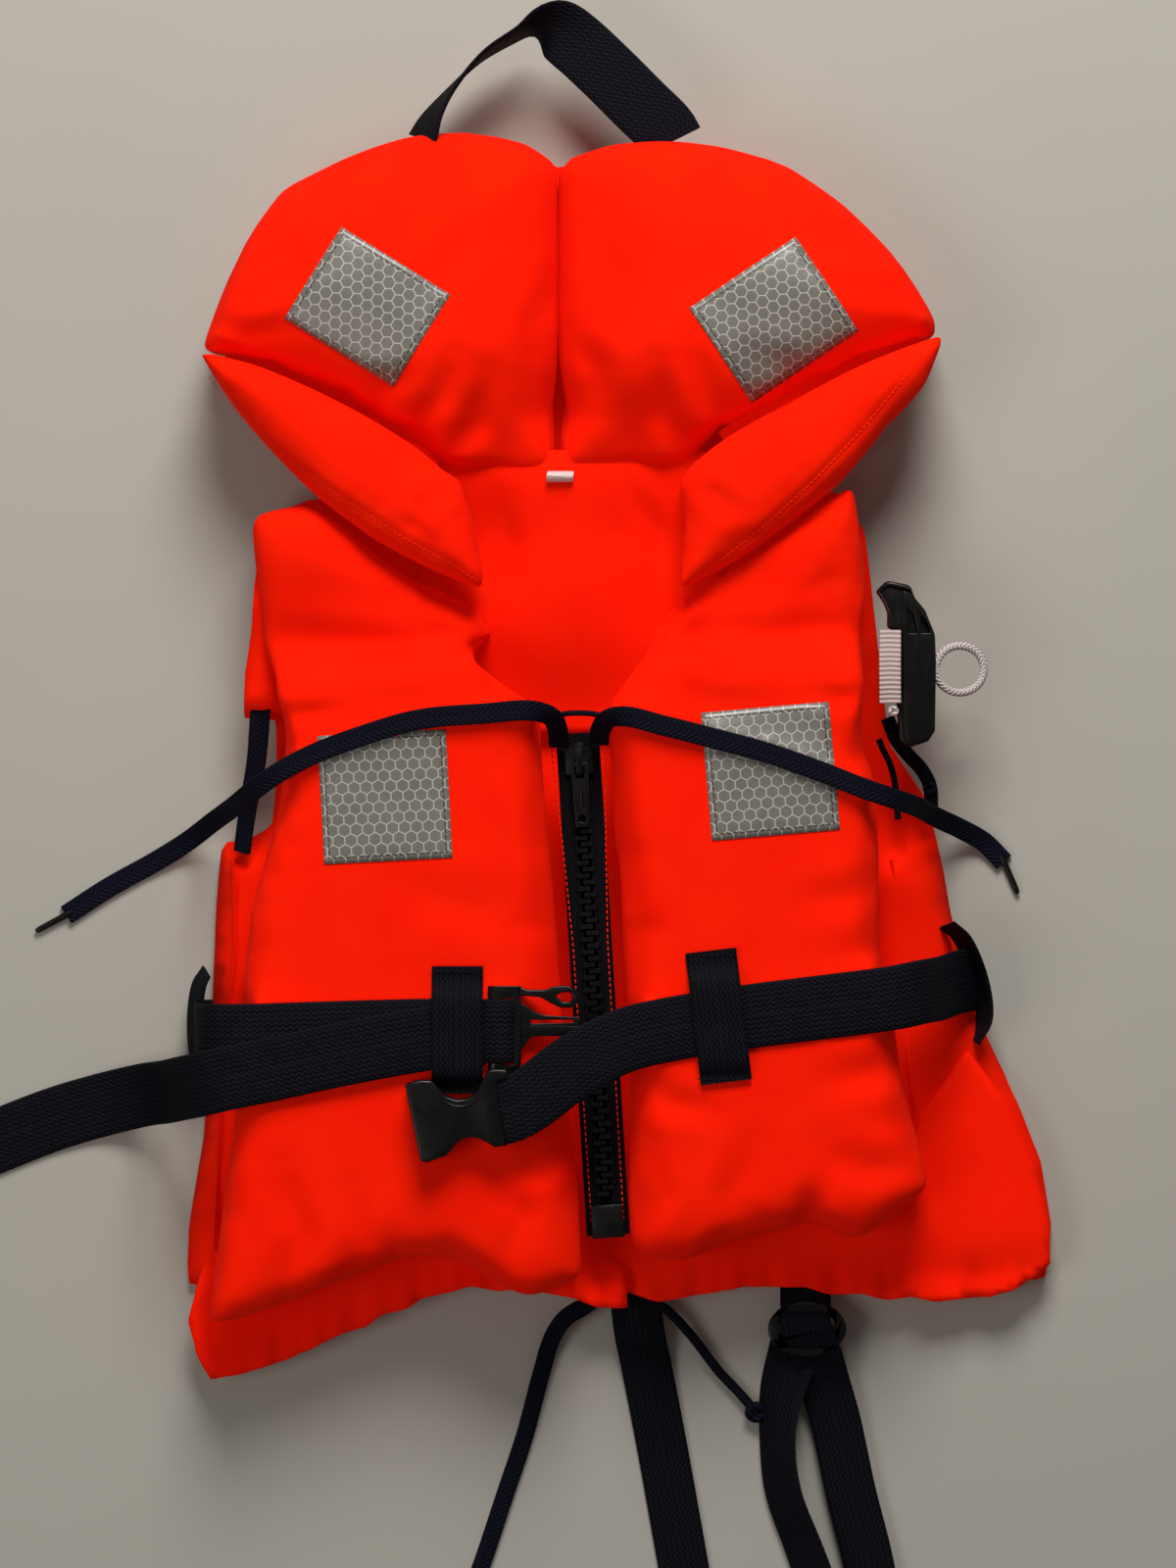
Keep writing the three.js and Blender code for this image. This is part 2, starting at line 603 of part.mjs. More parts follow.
function addWhistle() {
  const edge = 113.6 * across + fitGap;
  const bottom = 31;
  const centre = new THREE.Vector3(edge + whistleWidth / 2, 45 * along, bottom + whistleThickness / 2);
  let body = box(whistleWidth, whistleLength - 14, whistleThickness, 0, -7, 0);
  body = body.add(rod(whistleWidth / 2, whistleThickness, "z", 0, -whistleLength / 2 + whistleWidth / 2, 0));
  body = body.subtract(box(60, 20, 60, 0, -whistleLength / 2 - 5, 0));
  body = body.add(box(whistleWidth - 5, 14, whistleThickness - 4, -2, whistleLength / 2 - 8, 0));
  for (const [y, deep] of [[12, 3], [2, 3]]) {
    body = body.subtract(box(whistleWidth - 7, deep, 5, 1, y, whistleThickness / 2));
  }
  body = body.subtract(rod(1.8, 40, "z", whistleWidth / 2 - 4, -12, 0));
  const whistle = addMesh("whistle", toGeometry(body), darkPlastic());
  whistle.position.copy(centre);

  const holder = new THREE.BoxGeometry(holderWidth, holderLength, 1.8);
  const strip = addMesh("whistle_holder", holder, material(0xe9dcd8, 0.85));
  strip.position.set(edge + holderWidth / 2, centre.y + 1, bottom + whistleThickness + fitGap + 0.9);

  const ring = [];
  for (let i = 0; i < 12; i += 1) {
    const a = (i / 12) * Math.PI * 2;
    ring.push([centre.x + 20.6 + 9 * Math.cos(a), centre.y + 9 * Math.sin(a), bottom + 4 - 3 * Math.cos(a)]);
  }
  addMesh("whistle_ring", cord([...ring, ring[0]].slice(0, 12), ringCordDiameter, true), material(0xe9dcd8, 0.85));
}

// Free laces, cords and strap ends, on the routes that they lie in.
function addFreeCords() {
  const lie = padTop + 2.9;
  const laceLeft = [
    [-8.6, 25, 36, 0], [-9, 33, 48, 0], [-12, 38, 60, 20], [-22, 36, 64, 60], [-40, 30, lie + 0.4, 80], [-66, 25, lie, 78],
    [-87, 19, lie, 72], [-107, 11.5, lie, 66], [-121, 4, lie - 0.5, 60], [-131, -3, 55, 58], [-139, -9, 38, 58],
    [-148, -15, 17, 58], [-159, -23, 5, 60], [-172, -31, 1.6, 62], [-190, -41, 1.3, 60], [-207, -52, 1.3, 58],
  ];
  addMesh("neck_lace_left", ribbon(laceLeft, laceWidth, laceThickness, 5), navyWebbing());
  const laceRight = [
    [-0.3, 25, 36, 0], [0.3, 34, 48, 0], [4, 41, 60, -10], [14, 37, 64, -60], [29, 26, lie + 0.6, -75], [46, 18.5, lie, -75],
    [70, 12, lie, -72], [90, 5, lie, -68], [108, -2, lie - 0.5, -66], [120, -6, 57, -64], [129, -9, 42, -62],
    [137, -13, 22, -60], [148, -18, 8, -60], [157, -23, 2.4, -58], [165, -31, 1.3, -30],
  ];
  addMesh("neck_lace_right", ribbon(laceRight, laceWidth, laceThickness, 5), navyWebbing());
  addMesh("lace_tip_left", lacePoint([-207.6, -52.3, 1.4], [-219, -58.4, 1.4]), darkPlastic());
  addMesh("lace_tip_right", lacePoint([165.3, -31.6, 1.4], [170.5, -43.5, 1.4]), darkPlastic());

  const tailStart = webbingHeight + tailRise;
  const tail = [
    [frameX - 2, buckleY - 1, tailStart, 90], [-60, -98.6, tailStart, 94], [-96, -105, tailStart + 0.4, 98],
    [-124, -111, tailStart + 0.5, 100], [-141, -114.5, tailStart, 100], [-151, -117, 57, 100],
    [-159, -119, 45, 100], [-166, -121, 28, 100], [-176, -123, 12, 102], [-192, -127, 3.5, 104],
    [-212, -133, 1.4, 108], [-240, -144, 1.3, 110], [-262, -153, 1.3, 110],
  ];
  addMesh("belt_tail", ribbon(tail, webbingWidth, webbingThickness, 10), navyWebbing());

  const sideLeft = [[-132.2, 40, 26, 0], [-132.8, 26, 25, 0], [-134, 8, 22, 0], [-137, -9, 20, 0], [-140, -25, 18, 0]];
  addMesh("side_lace_left", ribbon(sideLeft, laceWidth, laceThickness, 5), navyWebbing());
  const sideRight = [[115.8, 14, 27], [118.6, 8.5, 25], [120.8, 1, 22], [121.9, -10, 20.5]];
  addMesh("side_cord_right", cord(sideRight, 2.6), navyWebbing());

  const hemLeft = [
    [-1, -200, 12.8, 0], [-5, -209, 10, 20], [-12, -220, 5, 15], [-18, -234, 1.6, 10], [-25, -258, 1.3, 14],
    [-33, -282, 1.3, 16], [-42, -309, 1.3, 16], [-50, -330, 1.3, 18],
  ];
  addMesh("hem_cord_left", ribbon(hemLeft, hemCordWidth, laceThickness, 5), navyWebbing());
  const hemRight = [
    [34, -200, 11.9], [36, -211, 8.5], [44, -222, 4.4], [54, -235, 2.6], [62, -243, 2.6], [67, -249.5, 2.6],
  ];
  addMesh("hem_cord_right", cord(hemRight, hemCordDiameter), navyWebbing());
}

function lacePoint(from, to) {
  const curve = new THREE.LineCurve3(new THREE.Vector3(...from), new THREE.Vector3(...to));
  const section = new THREE.Shape();
  section.absarc(0, 0, 1.3, 0, Math.PI * 2);
  return new THREE.ExtrudeGeometry(section, { steps: 1, extrudePath: curve, curveSegments: 8, bevelEnabled: false });
}

function addCrotchStraps() {
  const first = [
    [18.5, -199, 13, 0], [19, -210, 11.5, 1], [20.5, -218, 8, 2], [23, -230, 3, 5], [28.5, -258, 1.3, 8], [37.5, -308, 1.3, 8],
    [42, -333, 1.3, 8],
  ];
  addMesh("crotch_strap_left", ribbon(first, crotchWidth, webbingThickness, 9), navyWebbing());

  const glide = new THREE.Group();
  glide.position.set(86.6, -215.4, 10.6);
  jacket.add(glide);
  const plate = new THREE.Shape();
  plate.absellipse(0, 0, 15.5, glideLength / 2, 0, Math.PI * 2);
  const body = new THREE.ExtrudeGeometry(plate, { depth: glideThickness, bevelEnabled: false, curveSegments: 16 });
  let loop = toSolid(body.translate(0, 0, -glideThickness / 2));
  for (const y of [-4.4, 4.4]) {
    loop = loop.subtract(box(crotchWidth + 2, 5, 20, 0, y, 0));
  }
  addMesh("crotch_tri_glide", toGeometry(loop), darkPlastic(), glide);

  const second = [
    [86, -194, 12.8, 0], [86, -204, 12.8, 0],
  ];
  addMesh("crotch_strap_right", ribbon(second, crotchWidth, webbingThickness, 9), navyWebbing());
  const doubled = [
    [86, -227, 10, 0], [85, -238, 4.6, -12], [80, -252, 3.6, -10], [80.5, -280, 3.6, 10], [91, -308, 3.6, 16],
    [99, -331, 3.6, 16],
  ];
  addMesh("crotch_strap_free", ribbon(doubled, crotchWidth, webbingThickness, 9), navyWebbing());
}

addBack();
addSides();
addFronts();
addSkirts();
addCollar();
addLapels();
addHandle();
addPatches();
addZip();
addBelt();
addBuckle();
addWhistle();
addFreeCords();
addCrotchStraps();

export default jacket;
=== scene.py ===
import json
import math

import bmesh
import bpy
import numpy as np
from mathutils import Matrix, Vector
from mathutils.bvhtree import BVHTree
from mathutils.geometry import delaunay_2d_cdt

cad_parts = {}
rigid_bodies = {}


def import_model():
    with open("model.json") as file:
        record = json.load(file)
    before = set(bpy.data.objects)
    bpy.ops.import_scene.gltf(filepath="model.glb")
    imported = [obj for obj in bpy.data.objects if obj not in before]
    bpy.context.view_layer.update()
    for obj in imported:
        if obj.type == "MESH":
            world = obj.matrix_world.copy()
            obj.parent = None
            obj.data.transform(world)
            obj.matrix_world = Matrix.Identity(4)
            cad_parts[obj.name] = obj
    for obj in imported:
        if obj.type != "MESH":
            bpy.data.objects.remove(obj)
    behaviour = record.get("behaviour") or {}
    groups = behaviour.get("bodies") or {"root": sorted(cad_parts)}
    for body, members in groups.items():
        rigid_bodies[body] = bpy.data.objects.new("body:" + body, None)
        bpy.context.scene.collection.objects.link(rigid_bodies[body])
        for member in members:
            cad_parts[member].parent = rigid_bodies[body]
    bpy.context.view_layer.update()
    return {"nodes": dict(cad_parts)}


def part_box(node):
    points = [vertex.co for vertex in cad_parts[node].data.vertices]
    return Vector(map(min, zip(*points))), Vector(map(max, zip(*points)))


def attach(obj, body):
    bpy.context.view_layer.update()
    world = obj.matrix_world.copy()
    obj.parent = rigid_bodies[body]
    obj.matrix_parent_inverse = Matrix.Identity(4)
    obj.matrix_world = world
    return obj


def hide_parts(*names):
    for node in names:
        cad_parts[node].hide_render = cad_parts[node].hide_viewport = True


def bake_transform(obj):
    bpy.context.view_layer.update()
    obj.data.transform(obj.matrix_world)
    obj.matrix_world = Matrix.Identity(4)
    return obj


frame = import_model()
mm = 0.001  # lists below are in millimetres
scene = bpy.context.scene
print("frame loaded")


# camera
cameraSetup = {"height": 3.03, "tall": 0.616, "aimX": 0.0, "aimY": 0.0}


def addCamera(setup):
    data = bpy.data.cameras.new("camera")
    data.sensor_fit = "VERTICAL"
    data.sensor_height = 24
    data.lens = 24 * (setup["height"] - 0.03) / setup["tall"]
    data.clip_end = 20
    camera = bpy.data.objects.new("camera", data)
    camera.location = (setup["aimX"], setup["aimY"], setup["height"])
    scene.collection.objects.link(camera)
    scene.camera = camera
    scene.view_settings.view_transform = "Standard"


addCamera(cameraSetup)
print("camera set")


# shader groups
def newGroup(name, inputs, outputs):
    group = bpy.data.node_groups.new(name, "ShaderNodeTree")
    for label, kind, value in inputs:
        socket = group.interface.new_socket(label, in_out="INPUT", socket_type=kind)
        if value is not None:
            socket.default_value = value
    for label, kind in outputs:
        group.interface.new_socket(label, in_out="OUTPUT", socket_type=kind)
    return group, group.nodes.new("NodeGroupInput"), group.nodes.new("NodeGroupOutput")


def wire(tree, target, source):
    if isinstance(source, bpy.types.NodeSocket):
        tree.links.new(source, target)
    else:
        target.default_value = source


def calc(tree, operation, a, b=0.5, c=0.5):
    node = tree.nodes.new("ShaderNodeMath")
    node.operation = operation
    for socket, value in zip(node.inputs, (a, b, c)):
        wire(tree, socket, value)
    return node.outputs[0]


def vectorCalc(tree, operation, a, b=(0, 0, 0)):
    node = tree.nodes.new("ShaderNodeVectorMath")
    node.operation = operation
    wire(tree, node.inputs[0], a)
    wire(tree, node.inputs[1], b)
    return node.outputs["Value" if operation in ("LENGTH", "DOT_PRODUCT") else "Vector"]


def mixColour(tree, factor, a, b):
    node = tree.nodes.new("ShaderNodeMix")
    node.data_type = "RGBA"
    wire(tree, node.inputs["Factor"], factor)
    wire(tree, node.inputs[6], a)
    wire(tree, node.inputs[7], b)
    return node.outputs[2]


def mixVector(tree, factor, a, b):
    node = tree.nodes.new("ShaderNodeMix")
    node.data_type = "VECTOR"
    wire(tree, node.inputs["Factor"], factor)
    wire(tree, node.inputs[4], a)
    wire(tree, node.inputs[5], b)
    return node.outputs[1]


def noiseValue(tree, vector, scale, detail=2.0):
    node = tree.nodes.new("ShaderNodeTexNoise")
    wire(tree, node.inputs["Vector"], vector)
    wire(tree, node.inputs["Scale"], scale)
    wire(tree, node.inputs["Detail"], detail)
    return node.outputs["Fac"]


def wave(tree, value, pitch):
    # a sine of the given pitch, from -1 to 1
    turns = calc(tree, "DIVIDE", value, pitch)
    return calc(tree, "SINE", calc(tree, "MULTIPLY", turns, 2 * math.pi))


def split(tree, vector):
    node = tree.nodes.new("ShaderNodeSeparateXYZ")
    wire(tree, node.inputs[0], vector)
    return node.outputs


def weaveGroup():
    # a plain weave on the piece's own x and y, with slight clouding from handling
    group, into, out = newGroup(
        "plainWeave",
        [
            ("Place", "NodeSocketVector", None),
            ("Pitch", "NodeSocketFloat", 0.6),
            ("Clouding", "NodeSocketFloat", 0.2),
        ],
        [("Height", "NodeSocketFloat"), ("Shade", "NodeSocketFloat")],
    )
    spot = vectorCalc(group, "MULTIPLY", into.outputs["Place"], (1000, 1000, 1000))
    x, y, z = split(group, spot)
    pitch = into.outputs["Pitch"]
    warp = wave(group, calc(group, "ADD", x, z), pitch)
    weft = wave(group, calc(group, "ADD", y, z), pitch)
    threads = calc(group, "MULTIPLY", warp, weft)
    wire(group, out.inputs["Height"], calc(group, "MULTIPLY_ADD", threads, 0.5, 0.5))
    cloud = noiseValue(group, spot, 0.035, 3.0)
    shade = calc(group, "MULTIPLY_ADD", calc(group, "SUBTRACT", cloud, 0.5), into.outputs["Clouding"], 1.0)
    wire(group, out.inputs["Shade"], shade)
    return group


def webbingGroup():
    # rows along the strap that waver, between two closed edges
    group, into, out = newGroup(
        "wovenRows",
        [
            ("Thread", "NodeSocketVector", None),
            ("Row", "NodeSocketFloat", 1.7),
            ("Waver", "NodeSocketFloat", 2.6),
            ("Swing", "NodeSocketFloat", 1.5),
            ("Slant", "NodeSocketFloat", 0.0),
        ],
        [("Height", "NodeSocketFloat"), ("Shade", "NodeSocketFloat")],
    )
    u, v = split(group, into.outputs["Thread"])[:2]
    swing = calc(group, "MULTIPLY", wave(group, v, into.outputs["Waver"]), into.outputs["Swing"])
    rowsOut = calc(group, "DIVIDE", calc(group, "ABSOLUTE", u), into.outputs["Row"])
    rows = calc(group, "MULTIPLY", rowsOut, 2 * math.pi)
    slanted = calc(group, "MULTIPLY", calc(group, "MULTIPLY", v, into.outputs["Slant"]), 2 * math.pi)
    height = calc(group, "SINE", calc(group, "ADD", calc(group, "ADD", rows, swing), slanted))
    raised = calc(group, "MULTIPLY_ADD", height, 0.5, 0.5)
    wire(group, out.inputs["Height"], raised)
    # the tone is lighter on the raised rows, a painted highlight on their tops, with random speckle
    speckle = noiseValue(group, into.outputs["Thread"], 1.3, 2.0)
    shade = calc(group, "MULTIPLY_ADD", raised, 0.75, calc(group, "MULTIPLY", speckle, 0.6))
    wire(group, out.inputs["Shade"], shade)
    return group


def hexGroup():
    # honeycomb lines of a retro-reflective sheet, and a stitch line inside its edge
    group, into, out = newGroup(
        "honeycomb",
        [("Thread", "NodeSocketVector", None), ("Half", "NodeSocketVector", (25, 25, 0))],
        [("Lines", "NodeSocketFloat"), ("Stitch", "NodeSocketFloat"), ("Tone", "NodeSocketFloat")],
    )
    pitch, root = 4.7, math.sqrt(3)  # cell width in mm, and a hexagon's height over its width
    flat = vectorCalc(group, "MULTIPLY", into.outputs["Thread"], (1, 1, 0))
    scaled = vectorCalc(group, "DIVIDE", flat, (pitch, pitch, 1))
    moved = vectorCalc(group, "ADD", scaled, (40, 40 * root, 0))
    cell, half = (1, root, 1), (0.5, root / 2, 0)
    first = vectorCalc(group, "SUBTRACT", vectorCalc(group, "MODULO", moved, cell), half)
    second = vectorCalc(
        group, "SUBTRACT", vectorCalc(group, "MODULO", vectorCalc(group, "ADD", moved, half), cell), half
    )
    nearer = calc(
        group, "LESS_THAN", vectorCalc(group, "LENGTH", second), vectorCalc(group, "LENGTH", first)
    )
    inside = vectorCalc(group, "ABSOLUTE", mixVector(group, nearer, first, second))
    sideways = split(group, inside)[0]
    slanted = vectorCalc(group, "DOT_PRODUCT", inside, half)
    reach = calc(group, "MAXIMUM", sideways, slanted)
    wire(group, out.inputs["Lines"], calc(group, "GREATER_THAN", reach, 0.452))
    margin = vectorCalc(group, "SUBTRACT", vectorCalc(group, "ABSOLUTE", flat), into.outputs["Half"])
    fromX, fromY = split(group, margin)[:2]
    edge = calc(group, "ABSOLUTE", calc(group, "ADD", calc(group, "MAXIMUM", fromX, fromY), 2.2))
    u, v = split(group, flat)[:2]
    dash = calc(group, "GREATER_THAN", wave(group, calc(group, "ADD", u, v), 2.6), -0.55)
    seam = calc(group, "MULTIPLY", calc(group, "LESS_THAN", edge, 0.34), dash)
    wire(group, out.inputs["Stitch"], seam)
    wire(group, out.inputs["Tone"], noiseValue(group, flat, 0.06, 3.0))
    return group


def grainGroup():
    # fine moulding grain, with rubbed patches
    group, into, out = newGroup(
        "mouldGrain",
        [("Place", "NodeSocketVector", None), ("Size", "NodeSocketFloat", 1.6)],
        [("Height", "NodeSocketFloat"), ("Rub", "NodeSocketFloat")],
    )
    spot = vectorCalc(group, "MULTIPLY", into.outputs["Place"], (1000, 1000, 1000))
    wire(group, out.inputs["Height"], noiseValue(group, spot, into.outputs["Size"], 4.0))
    wire(group, out.inputs["Rub"], noiseValue(group, spot, 0.16, 3.0))
    return group


plainWeave = weaveGroup()
wovenRows = webbingGroup()
honeycomb = hexGroup()
mouldGrain = grainGroup()


def newMaterial(name):
    material = bpy.data.materials.new(name)
    material.use_nodes = True
    tree = material.node_tree
    return material, tree, tree.nodes["Principled BSDF"]


def addGroup(tree, group, **values):
    node = tree.nodes.new("ShaderNodeGroup")
    node.node_tree = group
    for label, value in values.items():
        wire(tree, node.inputs[label], value)
    return node


def ownPlace(tree):
    return tree.nodes.new("ShaderNodeTexCoord").outputs["Object"]


def threadPlace(tree):
    return tree.nodes.new("ShaderNodeTexCoord").outputs["UV"]


def bumped(tree, shader, height, strength, distance):
    bump = tree.nodes.new("ShaderNodeBump")
    bump.inputs["Strength"].default_value = strength
    bump.inputs["Distance"].default_value = distance * mm
    wire(tree, bump.inputs["Height"], height)
    wire(tree, shader.inputs["Normal"], bump.outputs["Normal"])


def clothMaterial(name, deep, bright, paintedGlow, pitch=0.62):
    material, tree, shader = newMaterial(name)
    weave = addGroup(tree, plainWeave, Place=ownPlace(tree), Pitch=pitch, Clouding=0.5)
    tone = calc(tree, "MULTIPLY_ADD", calc(tree, "SUBTRACT", weave.outputs["Shade"], 1.0), 1.2, 0.5)
    # the raised threads are a little lighter, a painted highlight on the weave, laid over the random clouding
    toneAndThreadHighlight = calc(tree, "MULTIPLY_ADD", weave.outputs["Height"], 0.12, tone)
    colour = mixColour(tree, toneAndThreadHighlight, (*deep, 1), (*bright, 1))
    wire(tree, shader.inputs["Base Color"], colour)
    # painted glow: the cloth gives off its own colour as light and so lifts its shade; partly the neon dye's real
    # fluorescence, partly painted light
    wire(tree, shader.inputs["Emission Color"], colour)
    shader.inputs["Emission Strength"].default_value = paintedGlow
    shader.inputs["Roughness"].default_value = 0.9
    shader.inputs["Specular IOR Level"].default_value = 0.03
    shader.inputs["Sheen Weight"].default_value = 0.01
    shader.inputs["Sheen Tint"].default_value = (1.0, 0.35, 0.2, 1)
    bumped(tree, shader, weave.outputs["Height"], 0.18, 0.12)
    return material


def webbingMaterial(name, dark, light, row, waver, swing, slant=0.0, depth=0.35):
    material, tree, shader = newMaterial(name)
    rows = addGroup(tree, wovenRows, Thread=threadPlace(tree), Row=row, Waver=waver, Swing=swing, Slant=slant)
    # dark and light are mixed by the rows' painted highlight and their speckle
    wire(tree, shader.inputs["Base Color"], mixColour(tree, rows.outputs["Shade"], (*dark, 1), (*light, 1)))
    shader.inputs["Roughness"].default_value = 0.7
    shader.inputs["Specular IOR Level"].default_value = 0.045
    bumped(tree, shader, rows.outputs["Height"], 0.75, depth)
    return material


def plasticMaterial(name, dark, light, roughness):
    material, tree, shader = newMaterial(name)
    grain = addGroup(tree, mouldGrain, Place=ownPlace(tree), Size=1.5)
    wire(tree, shader.inputs["Base Color"], mixColour(tree, grain.outputs["Rub"], (*dark, 1), (*light, 1)))
    rough = calc(tree, "MULTIPLY_ADD", grain.outputs["Rub"], 0.25, roughness - 0.12)
    wire(tree, shader.inputs["Roughness"], rough)
    shader.inputs["Specular IOR Level"].default_value = 0.22
    bumped(tree, shader, grain.outputs["Height"], 0.22, 0.15)
    return material


def patchMaterial(name, half):
    material, tree, shader = newMaterial(name)
    comb = addGroup(tree, honeycomb, Thread=threadPlace(tree), Half=(*half, 0))
    ground = mixColour(tree, comb.outputs["Tone"], (0.098, 0.091, 0.078, 1), (0.148, 0.138, 0.119, 1))
    lined = mixColour(tree, comb.outputs["Lines"], ground, (0.35, 0.335, 0.305, 1))
    sewn = mixColour(tree, comb.outputs["Stitch"], lined, (0.035, 0.035, 0.035, 1))
    wire(tree, shader.inputs["Base Color"], sewn)
    wire(tree, shader.inputs["Roughness"], calc(tree, "MULTIPLY_ADD", comb.outputs["Tone"], 0.2, 0.3))
    shader.inputs["Coat Weight"].default_value = 0.25
    shader.inputs["Coat Roughness"].default_value = 0.35
    raised = calc(tree, "SUBTRACT", comb.outputs["Lines"], comb.outputs["Stitch"])
    bumped(tree, shader, raised, 0.5, 0.25)
    return material


# the last number is the painted glow that lifts the cloth's shade
neonCloth = clothMaterial("neonNylon", (0.66, 0.0018, 0.0002), (0.80, 0.0136, 0.0007), 0.10)
neonThread = clothMaterial("neonThread", (0.76, 0.013, 0.002), (0.80, 0.028, 0.004), 0.05, 0.3)
# dark, light, row, waver, swing, slant, depth
navyBelt = webbingMaterial("navyWebbing", (0.0002, 0.0002, 0.0004), (0.0052, 0.0054, 0.0092), 1.9, 2.8, 1.5)
navyLace = webbingMaterial("navyBraid", (0.0003, 0.0003, 0.0009), (0.0048, 0.0050, 0.0125), 2.1, 2.4, 0.4, 0.45, 0.3)
zipTapeCloth = webbingMaterial("zipTapeCloth", (0.0006, 0.0006, 0.001), (0.0042, 0.0042, 0.0062), 1.2, 1.8, 0.9)
navyThread = webbingMaterial("navyThread", (0.002, 0.002, 0.004), (0.014, 0.015, 0.025), 0.5, 0.6, 0.6)
whiteBraid = webbingMaterial("whiteBraid", (0.15, 0.122, 0.118), (0.54, 0.48, 0.47), 1.6, 2.0, 0.3, 0.6, 0.4)
whiteRibs = webbingMaterial("whiteRibbing", (0.27, 0.205, 0.20), (0.43, 0.35, 0.34), 40.0, 60.0, 0.0, 0.55, 0.45)
labelCloth = webbingMaterial("labelCloth", (0.38, 0.33, 0.32), (0.58, 0.53, 0.52), 0.7, 0.9, 0.7, 0.0, 0.12)
blackPlastic = plasticMaterial("blackPlastic", (0.0010, 0.0009, 0.0009), (0.0030, 0.0028, 0.0028), 0.32)
zipPlastic = plasticMaterial("zipPlastic", (0.0006, 0.0006, 0.0007), (0.0022, 0.0022, 0.0024), 0.34)
print("materials made")


# mesh helpers
def newMesh(name, points, faces, material, thread=None, sharp=None):
    data = bpy.data.meshes.new(name)
    data.from_pydata([tuple(p) for p in np.asarray(points, float) * mm], [], faces)
    data.materials.append(material)
    if thread is not None:
        layer = data.uv_layers.new(name="thread")
        for loop in data.loops:
            layer.data[loop.index].uv = thread[loop.vertex_index]
    data.shade_smooth()
    if sharp is not None:
        data.set_sharp_from_angle(angle=math.radians(sharp))
    obj = bpy.data.objects.new(name, data)
    scene.collection.objects.link(obj)
    return obj


def readPoints(obj):
    flat = np.empty(len(obj.data.vertices) * 3, np.float32)
    obj.data.vertices.foreach_get("co", flat)
    return flat.reshape(-1, 3).astype(float) / mm


def writePoints(obj, points):
    obj.data.vertices.foreach_set("co", (points * mm).astype(np.float32).ravel())
    obj.data.update()


def applyModifiers(obj):
    bpy.context.view_layer.update()
    made = bpy.data.meshes.new_from_object(obj.evaluated_get(bpy.context.evaluated_depsgraph_get()))
    old = obj.data
    obj.modifiers.clear()
    obj.data = made
    bpy.data.meshes.remove(old)
    made.name = obj.name
    made.shade_smooth()
    return obj


def smoothPath(route, step):
    # centripetal Catmull-Rom through x, y, z, yaw and tilt, then even steps
    rows = np.array([list(r) + [90.0, 0.0][len(r) - 3 :] for r in route], float)
    ends = [2 * rows[0] - rows[1], *rows, 2 * rows[-1] - rows[-2]]
    dense = []
    for p0, p1, p2, p3 in zip(ends, ends[1:], ends[2:], ends[3:]):
        knots = [0.0]
        for a, b in ((p0, p1), (p1, p2), (p2, p3)):
            knots.append(knots[-1] + max(np.linalg.norm((b - a)[:3]), 1e-6) ** 0.5)
        t0, t1, t2, t3 = knots
        for t in np.linspace(t1, t2, 16, endpoint=False):
            a1 = ((t1 - t) * p0 + (t - t0) * p1) / (t1 - t0)
            a2 = ((t2 - t) * p1 + (t - t1) * p2) / (t2 - t1)
            a3 = ((t3 - t) * p2 + (t - t2) * p3) / (t3 - t2)
            b1 = ((t2 - t) * a1 + (t - t0) * a2) / (t2 - t0)
            b2 = ((t3 - t) * a2 + (t - t1) * a3) / (t3 - t1)
            dense.append(((t2 - t) * b1 + (t - t1) * b2) / (t2 - t1))
    dense = np.array([*dense, rows[-1]])
    along = np.r_[0, np.cumsum(np.linalg.norm(np.diff(dense[:, :3], axis=0), axis=1))]
    even = np.linspace(0, along[-1], max(3, round(along[-1] / step) + 1))
    return np.stack([np.interp(even, along, dense[:, i]) for i in range(5)], 1), even


def unit(rows):
    return rows / np.maximum(np.linalg.norm(rows, axis=1, keepdims=True), 1e-9)


def frames(path):
    tangent = unit(np.gradient(path[:, :3], axis=0))
    yaw, tilt = np.radians(path[:, 3]), np.radians(path[:, 4])
    wide = np.stack([np.cos(yaw) * np.cos(tilt), np.sin(yaw) * np.cos(tilt), np.sin(tilt)], 1)
    wide = unit(wide - (wide * tangent).sum(1, keepdims=True) * tangent)
    return tangent, wide, np.cross(tangent, wide)


# a flat strap's section, as shares of its width and thickness
strapSection = [(-0.5, 0), (-0.475, 0.4), (-0.42, 0.5), (-0.2, 0.5), (0, 0.5), (0.2, 0.5), (0.42, 0.5), (0.475, 0.4)]
strapSection += [(-a, -b) for a, b in strapSection]


def strip(name, route, width, thickness, material, step=2.5, cup=0.0):
    # woven strap: the section's ring repeated along the route; cup bows it across, in mm
    path, along = smoothPath(route, step)
    tangent, wide, normal = frames(path)
    points, thread = [], []
    for i in range(len(path)):
        for a, b in strapSection:
            lift = b * thickness + cup * (0.25 - a * a)
            points.append(path[i, :3] + wide[i] * a * width + normal[i] * lift)
            thread.append((a * width, along[i]))
    return sweep(name, points, thread, len(path), len(strapSection), material)


def sweep(name, points, thread, rings, sides, material):
    faces = []
    for i in range(rings - 1):
        for j in range(sides):
            k = (j + 1) % sides
            faces.append((i * sides + j, i * sides + k, (i + 1) * sides + k, (i + 1) * sides + j))
    faces.append(tuple(reversed(range(sides))))
    faces.append(tuple(range((rings - 1) * sides, rings * sides)))
    obj = newMesh(name, points, faces, material, thread, 50)
    tidy = bmesh.new()
    tidy.from_mesh(obj.data)
    bmesh.ops.recalc_face_normals(tidy, faces=tidy.faces)
    tidy.to_mesh(obj.data)
    tidy.free()
    return obj


